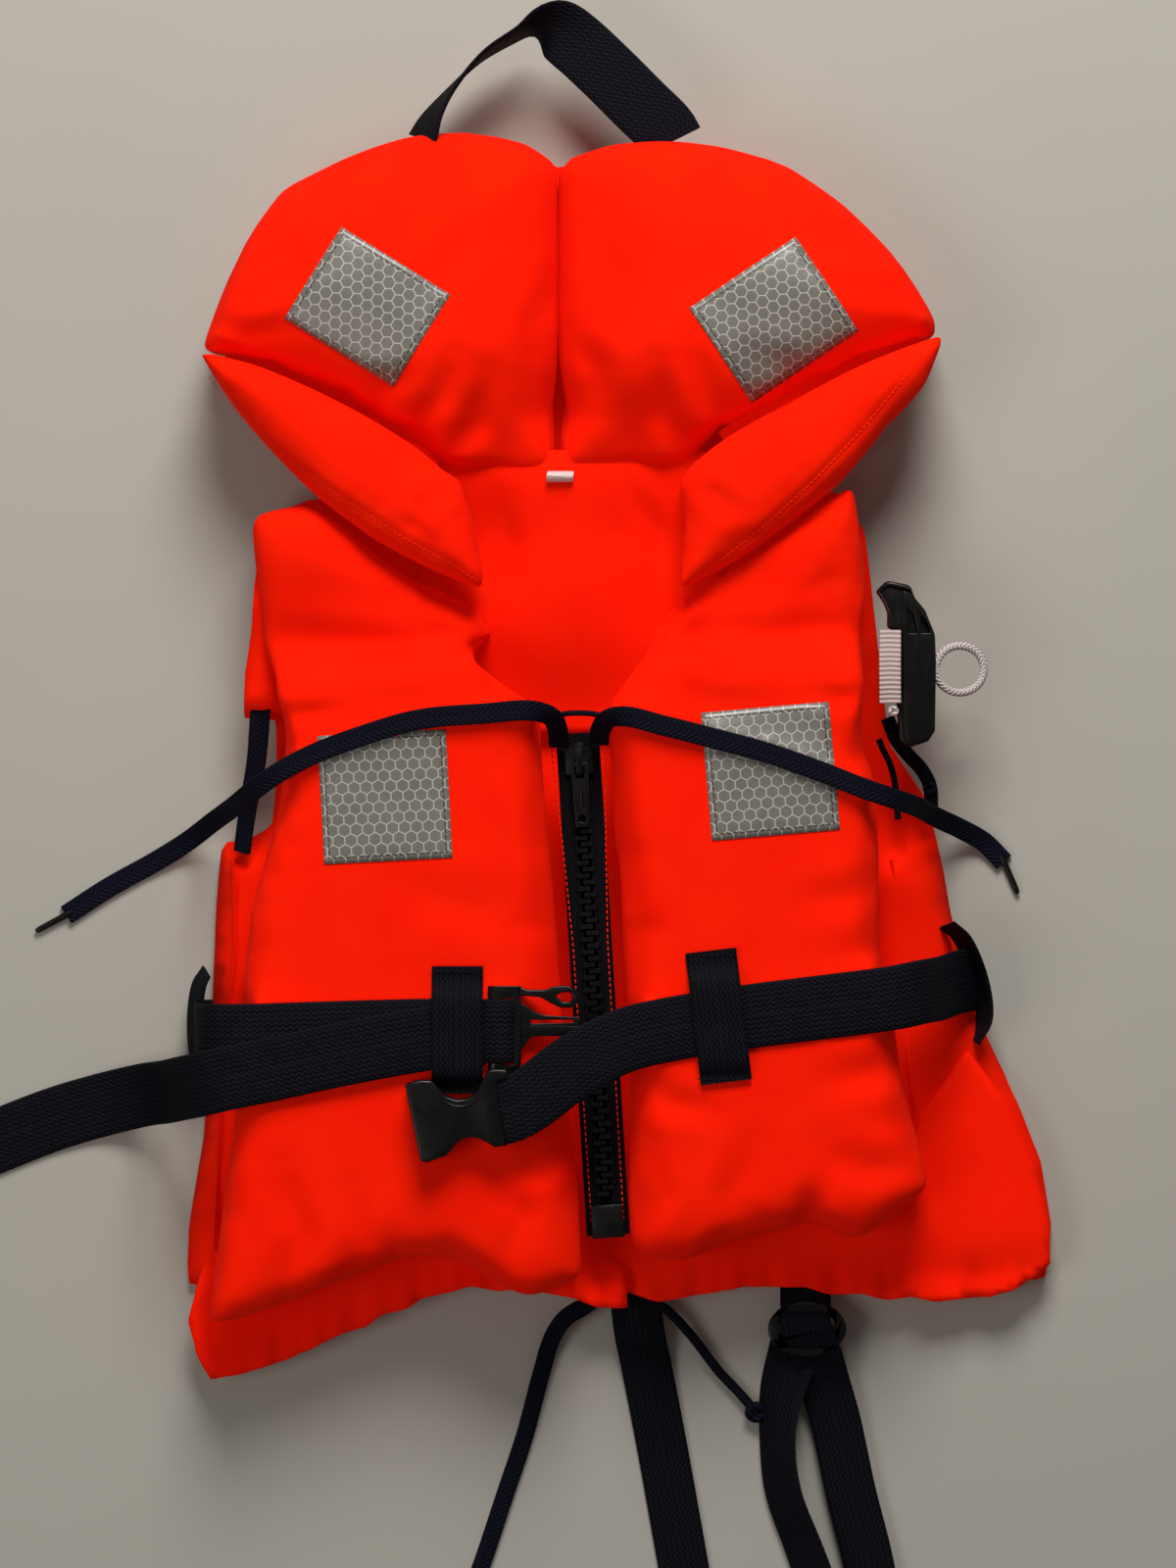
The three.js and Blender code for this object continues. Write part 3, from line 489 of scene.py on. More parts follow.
def tube(name, route, diameter, material, step=1.5, sides=10, taper=None):
    path, along = smoothPath(route, step)
    tangent = unit(np.gradient(path[:, :3], axis=0))
    side = np.cross(tangent[0], (0.31, 0.2, 0.93))
    points, thread = [], []
    for i in range(len(path)):
        side = side - side.dot(tangent[i]) * tangent[i]
        side = side / np.linalg.norm(side)
        other = np.cross(tangent[i], side)
        radius = diameter / 2 * (1 if taper is None else np.interp(i / (len(path) - 1), *taper))
        for j in range(sides):
            a = 2 * math.pi * j / sides
            points.append(path[i, :3] + radius * (math.cos(a) * side + math.sin(a) * other))
            thread.append((radius * math.cos(a), along[i]))
    return sweep(name, points, thread, len(path), sides, material)


def pathOf(route, step=4.0):
    path = smoothPath(route, step)[0][:, :3] * mm
    length = float(np.linalg.norm(np.diff(path, axis=0), axis=1).sum())
    return [tuple(p) for p in path], length


def knot(name, at, size, material):
    # a small overhand knot, as two tight turns
    route = []
    for i in range(25):
        a = 2 * math.pi * i / 12
        x, y = at[0] + size * 0.55 * math.cos(a), at[1] + size * 0.5 * math.sin(a)
        route.append((x, y, at[2] + size * 0.28 * math.sin(a * 1.5)))
    return tube(name, route, size * 0.62, material, 0.8, 8)


# free cords and strap ends
lie = 61.4  # height of a lace lying on the pads
tail = 61.8  # height of the belt's end lying on the pads
cordSizes = {
    "lace": (8, 2.0), "belt": (25, 1.8), "crotch": (20, 1.8), "hem": (7, 2.0),
    "hemRound": 4.0, "side": 2.6, "ring": 3.2,
}
laceLeftRoute = [
    [-11.4, 15, 36, 0], [-12, 21.6, 46, 8], [-14.6, 26.4, 55, 34], [-22.6, 28.6, 60, 74], [-40, 27.4, lie + 0.2, 98],
    [-66, 25, lie, 103], [-87, 19, lie, 108], [-107, 11.5, lie, 115], [-121, 4, lie - 0.5, 119], [-131, -3, 55, 122],
    [-139, -9, 38, 124], [-148, -15, 17, 124], [-159, -23, 5, 122], [-172, -31, 1.6, 120], [-190, -41, 1.3, 120],
    [-207, -52, 1.3, 122],
]
laceRightRoute = [
    [4.2, 16, 36, 0], [5, 21.6, 46, -8], [8.2, 25.6, 55, -34], [15.4, 26.2, 60, -78], [29, 22.8, lie + 0.2, -106],
    [46, 18.5, lie, -106], [70, 12, lie, -108], [90, 5, lie, -110], [108, -2, lie - 0.5, -110], [120, -6, 57, -108],
    [129, -9, 42, -112], [137, -13, 22, -115], [148, -18, 8, -116], [157, -23, 2.4, -122], [165, -31, 1.3, -134],
]
beltTailRoute = [
    [-41, -97, tail, 90], [-60, -98.6, tail, 94], [-96, -105, tail + 0.4, 98], [-124, -111, tail + 0.5, 100],
    [-141, -114.5, tail, 100], [-151, -117, 57, 100], [-159, -119, 45, 100], [-166, -121, 28, 100],
    [-176, -123, 12, 102], [-192, -127, 3.5, 104], [-212, -133, 1.4, 108], [-240, -144, 1.3, 110],
    [-262, -153, 1.3, 110],
]
sideLaceRoute = [
    [-128.6, 42, 24, 0], [-129.2, 26, 24, 0], [-130.8, 8, 21.5, 0, 18], [-134, -9, 19, 0, 34],
    [-136.6, -27, 16, 0, 40],
]
sideCordRoute = [
    [114.4, 17.5, 28], [115.8, 14, 27], [118.6, 8.5, 25], [120.8, 1, 22], [121.9, -10, 20.5], [122.2, -14, 20.2],
]
hemLeftRoute = [
    [8, -199, 7.8, -50], [-1, -206.4, 8.2, -52], [-8.6, -211, 8.6, -40], [-14, -219, 5, -10],
    [-18.6, -234, 1.8, 8], [-25, -258, 1.3, 14], [-33, -282, 1.3, 16], [-42, -309, 1.3, 16], [-50, -330, 1.3, 18],
]
hemRightRoute = [
    [13, -196, 8.0], [22, -202.6, 8.6], [31, -208, 8.0], [41, -218.6, 4.8], [52, -233, 2.6], [60, -241.4, 2.6],
    [67, -249.5, 2.6],
]
strapLeftRoute = [
    [18, -192, 7.8, 0], [19, -206, 8.0, 1], [20.5, -218, 8, 2], [23, -230, 3, 5], [28.5, -258, 1.3, 8],
    [37.5, -308, 1.3, 8], [42, -333, 1.3, 8],
]
strapFreeRoute = [
    [87, -217, 14.2, 0], [90.5, -226, 10.6, 4], [94, -238, 5.4, 14], [98, -252, 4.6, 20], [104, -280, 4.4, 16],
    [111, -308, 4.2, 12], [116, -337, 4.0, 12],
]
strapUnderRoute = [
    [84, -213, 6.9, 0, 0], [81, -226, 6.8, 0, 8], [77, -240, 6.9, 0, 28], [75, -256, 8.4, -6, 46],
    [77, -279, 8.6, 8, 46], [86, -304, 8.0, 20, 42], [98, -337, 7.4, 20, 36],
]
ringRoute = [
    [145.8 + 9.6 * math.cos(a), 45 + 9.2 * math.sin(a), 35 - 3 * math.cos(a)]
    for a in [math.pi * (1.04 + 1.92 * i / 18) for i in range(19)]
]


def freeCord(name, route, width, thickness, material, farEnd, body, stiffness, lay, nodes, extras=()):
    if thickness is None:
        obj = tube(name, route, width, material, 1.2, 10)
    else:
        obj = strip(name, route, width, thickness, material, 2.0, 0.25 * thickness)
    path, length = pathOf(route)
    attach(obj, body)
    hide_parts(*nodes)


def laceTip(name, start, end, node):
    # moulded tip: a slim sleeve with a crimp
    start, end = np.array(start, float), np.array(end, float)
    route = [tuple(start + (end - start) * t) for t in (-0.25, 0, 0.1, 0.5, 0.9, 1)]
    shape = ([0, 0.15, 0.22, 0.3, 0.9, 1], [1.0, 1.12, 1.06, 1.0, 0.92, 0.6])
    obj = tube(name, route, 2.6, blackPlastic, 0.6, 12, shape)
    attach(obj, "jacket")
    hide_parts(node)
    return obj


def stitches(name, lines, material, pitch=2.4, size=0.5, body="jacket"):
    # sewing thread: one short rounded stitch after another
    points, faces = [], []
    for line in lines:
        line = np.array(line, float)
        along = np.r_[0, np.cumsum(np.linalg.norm(np.diff(line, axis=0), axis=1))]
        count = max(1, int(along[-1] / pitch))
        for i in range(count):
            a, b = (i + 0.12) * pitch, (i + 0.82) * pitch
            if b > along[-1]:
                break
            head = np.array([np.interp(a, along, line[:, k]) for k in range(3)])
            foot = np.array([np.interp(b, along, line[:, k]) for k in range(3)])
            way = unit((foot - head)[None])[0]
            side = unit(np.cross(way, (0, 0, 1.0))[None])[0]
            up = np.cross(side, way)
            base = len(points)
            for share, radius in ((0, 0.25), (0.15, 0.9), (0.5, 1.0), (0.85, 0.9), (1, 0.25)):
                for j in range(5):
                    turn = 2 * math.pi * j / 5
                    offset = side * math.cos(turn) + up * math.sin(turn)
                    points.append(head + (foot - head) * share + offset * size / 2 * radius)
            for r in range(4):
                for j in range(5):
                    k = (j + 1) % 5
                    faces.append((base + r * 5 + j, base + r * 5 + k, base + r * 5 + 5 + k, base + r * 5 + 5 + j))
    obj = newMesh(name, points, faces, material, [(p[0], p[1]) for p in points])
    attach(obj, body)
    return obj


def addBridge():
    # the lace shows for a moment between the two mouths of its channel
    route = [(-14, 26.2, 49), (-9, 27.4, 50.6), (-3, 27.7, 51), (3, 27.2, 50.6), (8.2, 25.6, 49)]
    bridge = tube("lace_bridge", route, 2.2, navyLace, 1.0, 8)
    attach(bridge, "jacket")


def addCords():
    addBridge()
    lace, belt, crotch, hem = (cordSizes[k] for k in ("lace", "belt", "crotch", "hem"))
    hemRound, side, ring = ((cordSizes[k], None) for k in ("hemRound", "side", "ring"))
    tipLeft = laceTip("lace_tip_left_sleeve", [-207.6, -52.3, 1.4], [-219, -58.4, 1.4], "lace_tip_left")
    tipRight = laceTip("lace_tip_right_sleeve", [165.3, -31.6, 1.4], [170.5, -43.5, 1.4], "lace_tip_right")
    limp, medium, strap = ("jacket", "limp"), ("jacket", "medium"), ("bare", "jacket", "medium", "loose")
    freeCord("lace_left", laceLeftRoute, *lace, navyLace, "fitting", *limp, "loose", ["neck_lace_left"], [tipLeft])
    freeCord("lace_right", laceRightRoute, *lace, navyLace, "fitting", *limp, "loose", ["neck_lace_right"], [tipRight])
    freeCord("waist_tail", beltTailRoute, *belt, navyBelt, "bare", *medium, "loose", ["belt_tail"])
    freeCord("side_lace", sideLaceRoute, *lace, navyLace, "object", *limp, "taut", ["side_lace_left"])
    freeCord("side_cord", sideCordRoute, *side, navyLace, "object", *limp, "taut", ["side_cord_right"])
    freeCord("hem_lace", hemLeftRoute, *hem, navyLace, "bare", *limp, "loose", ["hem_cord_left"])
    stopper = knot("hem_knot", (66.5, -249, 2.9), 5.2, navyLace)
    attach(stopper, "jacket")
    freeCord("hem_drawcord", hemRightRoute, *hemRound, navyLace, "knot", *limp, "loose", ["hem_cord_right"], [stopper])
    freeCord("crotch_strap_a", strapLeftRoute, *crotch, navyBelt, *strap, ["crotch_strap_left"])
    freeCord("crotch_strap_b", strapFreeRoute, *crotch, navyBelt, *strap, ["crotch_strap_free"])
    freeCord("crotch_strap_c", strapUnderRoute, *crotch, navyBelt, *strap, [])
    held = ("object", "whistle_body", "medium", "loose")
    freeCord("whistle_loop", ringRoute, *ring, whiteBraid, *held, ["whistle_ring"])


addCords()
print("cords laid")


# belt, keepers and side loops
beltSetup = {"width": 25, "thickness": 1.8, "height": 59.7}
beltLeftRoute = [
    [0, -87.5, 1.2, 94], [-117.4, -95.9, 1.2, 94], [-147, -98, 1.2, 92], [-150.5, -98, 1.2, 92], [-153.4, -98, 8, 92],
    [-153.6, -98, 29, 92], [-151.6, -98, 47.5, 92], [-145.5, -98, 57.3, 92], [-133, -98, 60.2, 91],
    [-100, -97, 59.7, 90],
    [-62, -96, 59.7, 90], [-44, -96, 60.3, 90], [-38.4, -96, 64.4, 90], [-34, -96, 65.9, 90], [-30, -96, 65.3, 90],
    [-28.4, -96, 62.6, 90],
]
beltRightRoute = [
    [-29, -127, 62.9, 99], [-34.6, -127.4, 63.0, 98], [-37.8, -127.6, 66.2, 98], [-35, -127.4, 69.3, 98],
    [-29, -126, 69.9, 101], [-20, -120.5, 69.2, 111], [-9, -112, 68.2, 119], [3, -104.5, 66.4, 116],
    [16, -99, 62.8, 109],
    [29, -96, 60, 102], [43, -93.5, 59.7, 98], [64, -90.3, 59.7, 97], [106, -85, 59.7, 97], [120, -83, 60, 97],
    [130, -81, 56, 96], [138, -80, 41.5, 96], [145.6, -78, 25.6, 95], [152.8, -77, 10, 94], [151.6, -77, 1.4, 94],
    [149, -77, 1.2, 94], [119.4, -79.1, 1.2, 94], [2, -87.5, 1.2, 94],
]


def keeperRoute(x, y, extra, rise, slant=0.0, up=0.0, down=0.0):
    # flat on the pad at both ends, and arched over the belt between them
    flat = beltSetup["height"]
    half = beltSetup["width"] / 2 + extra
    arch = flat + rise + 0.5
    rows = [
        (half + 10 + up, flat), (half + 6, flat), (half + 3.6, arch - 1.2), (half + 1, arch), (0, arch),
        (-half - 1, arch), (-half - 3.6, arch - 1.2), (-half - 6, flat), (-half - 9 - down, flat),
    ]
    return [[x - slant * dy, y + dy, z, 0] for dy, z in rows]


sideLoopLeft = [
    [-150.5, -74, 17, 0, 68], [-153.6, -80, 16, 0, 64], [-155.6, -98, 14, 0, 66], [-153.8, -112, 13, 0, 70],
    [-150.5, -117, 12, 0, 74],
]
sideLoopRight = [
    [141.5, -55.5, 19, 12, 62], [147.5, -61, 17.5, 12, 62], [154.6, -78, 15, 8, 62], [156.4, -93, 13, 4, 66],
    [152.6, -101.5, 12, 0, 72],
]


def addBelt():
    wide, thick = beltSetup["width"], beltSetup["thickness"]
    pieces = [
        strip("waist_belt_left", beltLeftRoute, wide, thick, navyBelt, 2.5, 0.4),
        strip("waist_belt_right", beltRightRoute, wide, thick, navyBelt, 2.5, 0.5),
        strip("keeper_left", keeperRoute(-50.8, -97.5, 0.5, 4.2, 0.0, 3.6, 1.0), 20, thick, navyBelt, 1.5),
        strip("keeper_right", keeperRoute(51, -92.5, 2, 2.1, 0.12, 3.2), 20, thick, navyBelt, 1.5),
        strip("side_loop_left", sideLoopLeft, 14, 1.2, navyBelt, 1.5),
        strip("side_loop_right", sideLoopRight, 14, 1.2, navyBelt, 1.5),
    ]
    nodes = ["belt_left", "belt_right", "belt_keeper_left", "belt_keeper_right", "belt_loop_left", "belt_loop_right"]
    for piece, node in zip(pieces, nodes):
        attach(piece, "jacket")
        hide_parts(node)
    lines = []
    for x, y, extra in ((-50.8, -97.5, 0.5), (51, -92.5, 2)):
        for dy in (12.5 + extra + 11.4, -12.5 - extra - 7.8):
            lines.append([(x - 8.6, y + dy, 60.7), (x + 8.6, y + dy, 60.7)])
    stitches("keeper_stitches", lines, navyThread, 2.2, 0.6)


addBelt()
print("belt made")


# handle
handleRoute = [
    [-65, 254, 27.8, 0, 60], [-61.5, 262, 27.8, 8, 66], [-53, 274, 28, 28, 72], [-41.5, 286, 28.2, 40, 76],
    [-29, 294, 28.4, 50, 76], [-20.5, 298.4, 28.6, 58, 62], [-13, 297.2, 28.4, 52, 26], [-5, 291.5, 28, 47, 6],
    [8, 279.5, 27.8, 45, 0], [20, 267.5, 27.8, 30, 0], [30.5, 257, 27.75, 10, 0], [33, 252.5, 27.75, 0, 0],
]


def addHandle():
    grip = strip("grip_webbing", handleRoute, 25, 1.8, navyBelt, 2.0, 0.3)
    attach(grip, "handle")
    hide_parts("carry_handle")


addHandle()


# cloth helpers
def bvhOf(objects):
    points, faces = [], []
    for obj in objects:
        base = len(points)
        points += [tuple(p) for p in readPoints(obj)]
        faces += [[base + i for i in face.vertices] for face in obj.data.polygons]
    return BVHTree.FromPolygons(points, faces)


def insideOf(outline, points):
    # which points lie inside the outline, by crossings
    inside = np.zeros(len(points), bool)
    x, y = points[:, 0], points[:, 1]
    for (x1, y1), (x2, y2) in zip(outline, np.roll(outline, -1, axis=0)):
        crosses = (y1 > y) != (y2 > y)
        with np.errstate(divide="ignore", invalid="ignore"):
            at = x1 + (y - y1) * (x2 - x1) / (y2 - y1)
        inside ^= crosses & (x < at)
    return inside


def edgeDistance(outline, points):
    # distance from each point to the outline
    best = np.full(len(points), 1e9)
    for a, b in zip(outline, np.roll(outline, -1, axis=0)):
        span = b - a
        t = np.clip(((points - a) @ span) / max(span @ span, 1e-9), 0, 1)
        best = np.minimum(best, np.linalg.norm(points - (a + t[:, None] * span), axis=1))
    return best


def denser(outline, step):
    outline = np.array(outline, float)
    closed = np.vstack([outline, outline[:1]])
    along = np.r_[0, np.cumsum(np.linalg.norm(np.diff(closed, axis=0), axis=1))]
    even = np.linspace(0, along[-1], max(8, round(along[-1] / step)), endpoint=False)
    return np.stack([np.interp(even, along, closed[:, i]) for i in range(2)], 1)


def footprint(points, cell=2.0):
    # a grid of how far inside a solid's plan each place lies
    low, high = points[:, :2].min(0) - 4 * cell, points[:, :2].max(0) + 4 * cell
    size = np.ceil((high - low) / cell).astype(int) + 1
    taken = np.zeros(size, bool)
    spots = ((points[:, :2] - low) / cell).round().astype(int)
    for dx in (-1, 0, 1):
        for dy in (-1, 0, 1):
            taken[np.clip(spots[:, 0] + dx, 0, size[0] - 1), np.clip(spots[:, 1] + dy, 0, size[1] - 1)] = True
    distance = np.where(taken, 1e3, 0.0)
    for turn in range(60):
        shifted = [np.roll(distance, way, axis) + cell for way in (-1, 1) for axis in (0, 1)]
        for sx in (-1, 1):
            for sy in (-1, 1):
                shifted.append(np.roll(np.roll(distance, sx, 0), sy, 1) + 1.414 * cell)
        distance = np.minimum(distance, np.min(shifted, axis=0))
    return low, cell, distance


def sample(grid, spots):
    low, cell, values = grid
    at = (spots - low) / cell
    i = np.clip(np.floor(at).astype(int), 0, np.array(values.shape) - 2)
    f = np.clip(at - i, 0, 1)
    a, b = values[i[:, 0], i[:, 1]], values[i[:, 0] + 1, i[:, 1]]
    c, d = values[i[:, 0], i[:, 1] + 1], values[i[:, 0] + 1, i[:, 1] + 1]
    return (a * (1 - f[:, 0]) + b * f[:, 0]) * (1 - f[:, 1]) + (c * (1 - f[:, 0]) + d * f[:, 0]) * f[:, 1]


def ease(x, low, high):
    t = np.clip((np.asarray(x, float) - low) / (high - low), 0, 1)
    return t * t * (3 - 2 * t)


def crease(points, line, depth, width, above=-1e9):
    # height change of a soft fold along a line: a groove with a low roll on each side
    line = np.array(line, float)
    best = np.full(len(points), 1e9)
    share = np.zeros(len(points))
    total = max(len(line) - 1, 1)
    for n, (a, b) in enumerate(zip(line, line[1:])):
        span = b - a
        t = np.clip(((points[:, :2] - a) @ span) / (span @ span), 0, 1)
        far = np.linalg.norm(points[:, :2] - (a + t[:, None] * span), axis=1)
        share = np.where(far < best, (n + t) / total, share)
        best = np.minimum(best, far)
    taper = np.sin(np.pi * np.clip(share, 0.04, 0.96)) ** 0.6
    groove = np.exp(-((best / width) ** 2)) - 0.45 * np.exp(-(((best - 1.9 * width) / width) ** 2))
    return -depth * groove * taper * (points[:, 2] > above)


def settle(obj, frames, pressure, cap, grow=0.0):
    # cloth blown up from inside, with each point's travel capped
    before = readPoints(obj)
    cloth = obj.modifiers.new("cloth", "CLOTH")
    how = cloth.settings
    how.quality = 5
    how.mass = 0.15
    how.tension_stiffness = how.compression_stiffness = 12
    how.shear_stiffness = 4
    how.bending_stiffness = 0.4
    how.use_pressure = True
    how.uniform_pressure_force = pressure
    how.shrink_min = -grow
    how.effector_weights.gravity = 0
    cloth.collision_settings.use_collision = False
    cloth.point_cache.frame_start = 1
    cloth.point_cache.frame_end = frames
    for number in range(1, frames + 1):
        scene.frame_set(number)
    after = obj.evaluated_get(bpy.context.evaluated_depsgraph_get())
    flat = np.empty(len(before) * 3, np.float32)
    after.data.vertices.foreach_get("co", flat)
    moved = flat.reshape(-1, 3).astype(float) / mm - before
    far = np.linalg.norm(moved, axis=1, keepdims=True)
    obj.modifiers.clear()
    scene.frame_set(1)
    writePoints(obj, before + moved * np.minimum(1, cap / np.maximum(far, 1e-6)))


def skinOf(name, nodes, voxel, material):
    # one closed skin round the given solids
    whole = bmesh.new()
    for node in nodes:
        whole.from_mesh(frame["nodes"][node].data)
    data = bpy.data.meshes.new(name)
    whole.to_mesh(data)
    whole.free()
    obj = bpy.data.objects.new(name, data)
    scene.collection.objects.link(obj)
    remesh = obj.modifiers.new("skin", "REMESH")
    remesh.mode = "VOXEL"
    remesh.voxel_size = voxel * mm
    applyModifiers(obj)
    obj.data.materials.clear()
    obj.data.materials.append(material)
    return obj


def subdivided(obj):
    finer = obj.modifiers.new("finer", "SUBSURF")
    finer.levels = finer.render_levels = 1
    applyModifiers(obj)


def neighboursOf(obj):
    count = len(obj.data.edges)
    flat = np.empty(count * 2, np.int32)
    obj.data.edges.foreach_get("vertices", flat)
    return flat.reshape(-1, 2)


def spreadOut(obj, value, held, times):
    # a height change eases out over the cloth round the points that hold it
    edges = neighboursOf(obj)
    total = np.bincount(edges.ravel(), minlength=len(value)).astype(float)
    kept = value.copy()
    for turn in range(times):
        summed = np.bincount(edges[:, 0], weights=value[edges[:, 1]], minlength=len(value))
        summed += np.bincount(edges[:, 1], weights=value[edges[:, 0]], minlength=len(value))
        value = np.where(held, kept, 0.98 * summed / np.maximum(total, 1))
    return value


def meetStraps(obj, straps, floor, gap=0.35, reach=7.0, times=10):
    # the cloth's top is pressed down, or rises, to just under what lies on it
    tree = bvhOf(straps)
    points = readPoints(obj)
    change = np.zeros(len(points))
    held = np.zeros(len(points), bool)
    for i, (x, y, z) in enumerate(points):
        if z < floor:
            continue
        hit = tree.ray_cast(Vector((x, y, z - 14.0)), Vector((0, 0, 1)), 40)[0]
        if hit is not None and abs(hit.z - gap - z) < reach:
            change[i] = hit.z - gap - z
            held[i] = True
    change = spreadOut(obj, change, held, times)
    points[:, 2] += np.where(points[:, 2] >= floor - 6, change, 0)
    writePoints(obj, points)


# front pads
padSetup = {
    "left": {
        "bottom": 18.2, "reach": 34, "edge": 0.60, "ridge": ((-127, 46), (-31, 60)), "drop": 0.46,
        "folds": [
            ([(-127, 58), (-100, 55), (-70, 52), (-48, 56)], 2.6, 6.0), ([(-60, 74), (-42, 66), (-32, 55)], 3.0, 4.0),
            ([(-46, 52), (-36, 38), (-24, 31)], 3.2, 3.6), ([(-127, 30), (-112, 27), (-98, 28)], 1.6, 3.5),
            ([(-28, 10), (-20, -6), (-14, -34), (-10, -70)], 1.8, 6.0),
            ([(-140, -84), (-128, -90), (-112, -92)], 2.0, 4.0),
            ([(-143, -124), (-128, -118), (-106, -116)], 2.0, 5.0),
            ([(-118, -204), (-112, -176), (-120, -150)], 2.2, 6.0),
            ([(-96, -198), (-88, -178), (-92, -158)], 1.4, 5.0), ([(-30, -187), (-26, -168), (-38, -148)], 1.8, 5.0),
            ([(-5, -140), (-16, -150), (-30, -152)], 1.8, 4.0), ([(-72, -40), (-50, -48), (-30, -50)], 1.0, 8.0),
            ([(-37, -112), (-27, -113)], 3.6, 6.0),
        ],
    },
    "right": {
        "bottom": 18.2, "reach": 34, "edge": 0.60, "ridge": ((16, 56), (113, 54)), "drop": 0.42,
        "folds": [
            ([(20, 56), (40, 57), (66, 56), (92, 60), (112, 58)], 2.4, 6.0),
            ([(44, 78), (34, 70), (24, 60)], 2.6, 4.0),
            ([(40, 56), (52, 48), (70, 47)], 1.8, 4.5), ([(110, 36), (98, 33), (88, 36)], 1.6, 4.0),
            ([(12, 8), (12, -14), (14, -44)], 2.0, 5.0), ([(118, -36), (100, -44), (84, -46)], 1.4, 6.0),
            ([(126, -100), (112, -112), (92, -116)], 1.8, 6.0), ([(128, -150), (108, -150), (92, -142)], 1.8, 6.0),
            ([(60, -180), (56, -160), (64, -142)], 1.8, 6.0), ([(88, -178), (86, -164), (94, -152)], 1.4, 5.0),
            ([(20, -112), (32, -124), (50, -128)], 1.6, 5.0), ([(20, -178), (28, -160), (26, -140)], 2.0, 4.5),
        ],
    },
}


def crowned(obj, setup, heightShare, flush=None):
    # the solid's flat top becomes a crown that falls off towards its edges
    points = readPoints(obj)
    inward = sample(footprint(points), points[:, :2])
    t = np.clip(inward / setup["reach"], 0, 1)
    profile = setup["edge"] + (1 - setup["edge"]) * np.sqrt(np.maximum(0, 1 - (1 - t) ** 2))
    if flush is not None:
        profile += (1 - profile) * flush(points)
    bottom = setup["bottom"]
    points[:, 2] = bottom + (points[:, 2] - bottom) * profile * heightShare(points)
    writePoints(obj, points)


def padShare(setup):
    (x1, y1), (x2, y2) = setup["ridge"]

    def share(points):
        line = y1 + (y2 - y1) * np.clip((points[:, 0] - x1) / (x2 - x1), 0, 1)
        past = points[:, 1] - line
        return 1 - setup["drop"] * ease(past, -16, 3) + (setup["drop"] - 0.12) * ease(past, 5, 56)

    return share


def foldInto(obj, folds, above):
    points = readPoints(obj)
    change = np.zeros(len(points))
    for line, depth, width in folds:
        change += crease(points, line, depth, width, above)
    points[:, 2] += change
    writePoints(obj, points)


zipSetup = {"x": -4, "y": 17, "z": 33, "turn": 3.54, "length": 194.4, "pitch": 2.5, "box": 13, "half": 8.8}
zipOpening = ([-20, 0, 40, 80, 194, 230], [9.2, 8.8, 6.6, 4.9, 4.4, 4.3])  # distance down the zip, half width


def acrossZip(points, side):
    # distance out from the zip's middle, and distance down it
    a = math.radians(zipSetup["turn"])
    dx, dy = points[:, 0] - zipSetup["x"], points[:, 1] - zipSetup["y"]
    out = (dx * math.cos(a) + dy * math.sin(a)) * (-1 if side == "left" else 1)
    return out, dx * math.sin(a) - dy * math.cos(a)


def closeOverZip(obj, side):
    # the pad's inner edge moves in over the tape, and its top slopes down to it
    points = readPoints(obj)
    out, down = acrossZip(points, side)
    half, floor = zipSetup["half"], 35
    past = np.maximum(out - half, 0)
    along = ease(down, -14, -2)
    shift = (half - np.interp(down, *zipOpening)) * np.exp(-past / 11) * along * (1 if side == "left" else -1)
    a = math.radians(zipSetup["turn"])
    points[:, 0] += shift * math.cos(a)
    points[:, 1] += shift * math.sin(a)
    slope = 1 - 0.42 * np.exp(-((past / 7) ** 2)) * along
    points[:, 2] = np.where(points[:, 2] > floor, floor + (points[:, 2] - floor) * slope, points[:, 2])
    writePoints(obj, points)


def lowerCorner(obj, side):
    # the cover hangs a little lower next to the zip's end, and stands out at the shoulder
    points = readPoints(obj)
    if side == "left":
        points[:, 0] -= 5 * ease(-points[:, 0], 100, 118) * ease(points[:, 1], 40, 56)
        hang, inner = 15, ease(points[:, 0], -66, -14)
    else:
        hang, inner = 5, ease(-points[:, 0], -60, -22)
    points[:, 1] -= hang * inner * ease(-points[:, 1], 128, 172)
    writePoints(obj, points)


def addPads(straps):
    for side, setup in padSetup.items():
        pad = skinOf(f"pad_{side}", [f"front_foam_{side}"], 4.5, neonCloth)
        crowned(pad, setup, padShare(setup))
        settle(pad, 16, 4.0, 4.5, 0.03)
        points = readPoints(pad)
        z = np.maximum(points[:, 2], setup["bottom"])
        points[:, 2] = np.where(z > 55, 55 + (z - 55) * 0.5, z)  # the crown is flattened above 55
        writePoints(pad, points)
        closeOverZip(pad, side)
        lowerCorner(pad, side)
        subdivided(pad)
        foldInto(pad, setup["folds"], 30)
        meetStraps(pad, straps, 36)
        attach(pad, "jacket")
        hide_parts(f"front_cover_{side}", f"front_foam_{side}", f"front_lining_{side}")


addPads([bpy.data.objects[n] for n in ("lace_left", "lace_right", "waist_belt_left", "waist_belt_right")])
print("pads made")


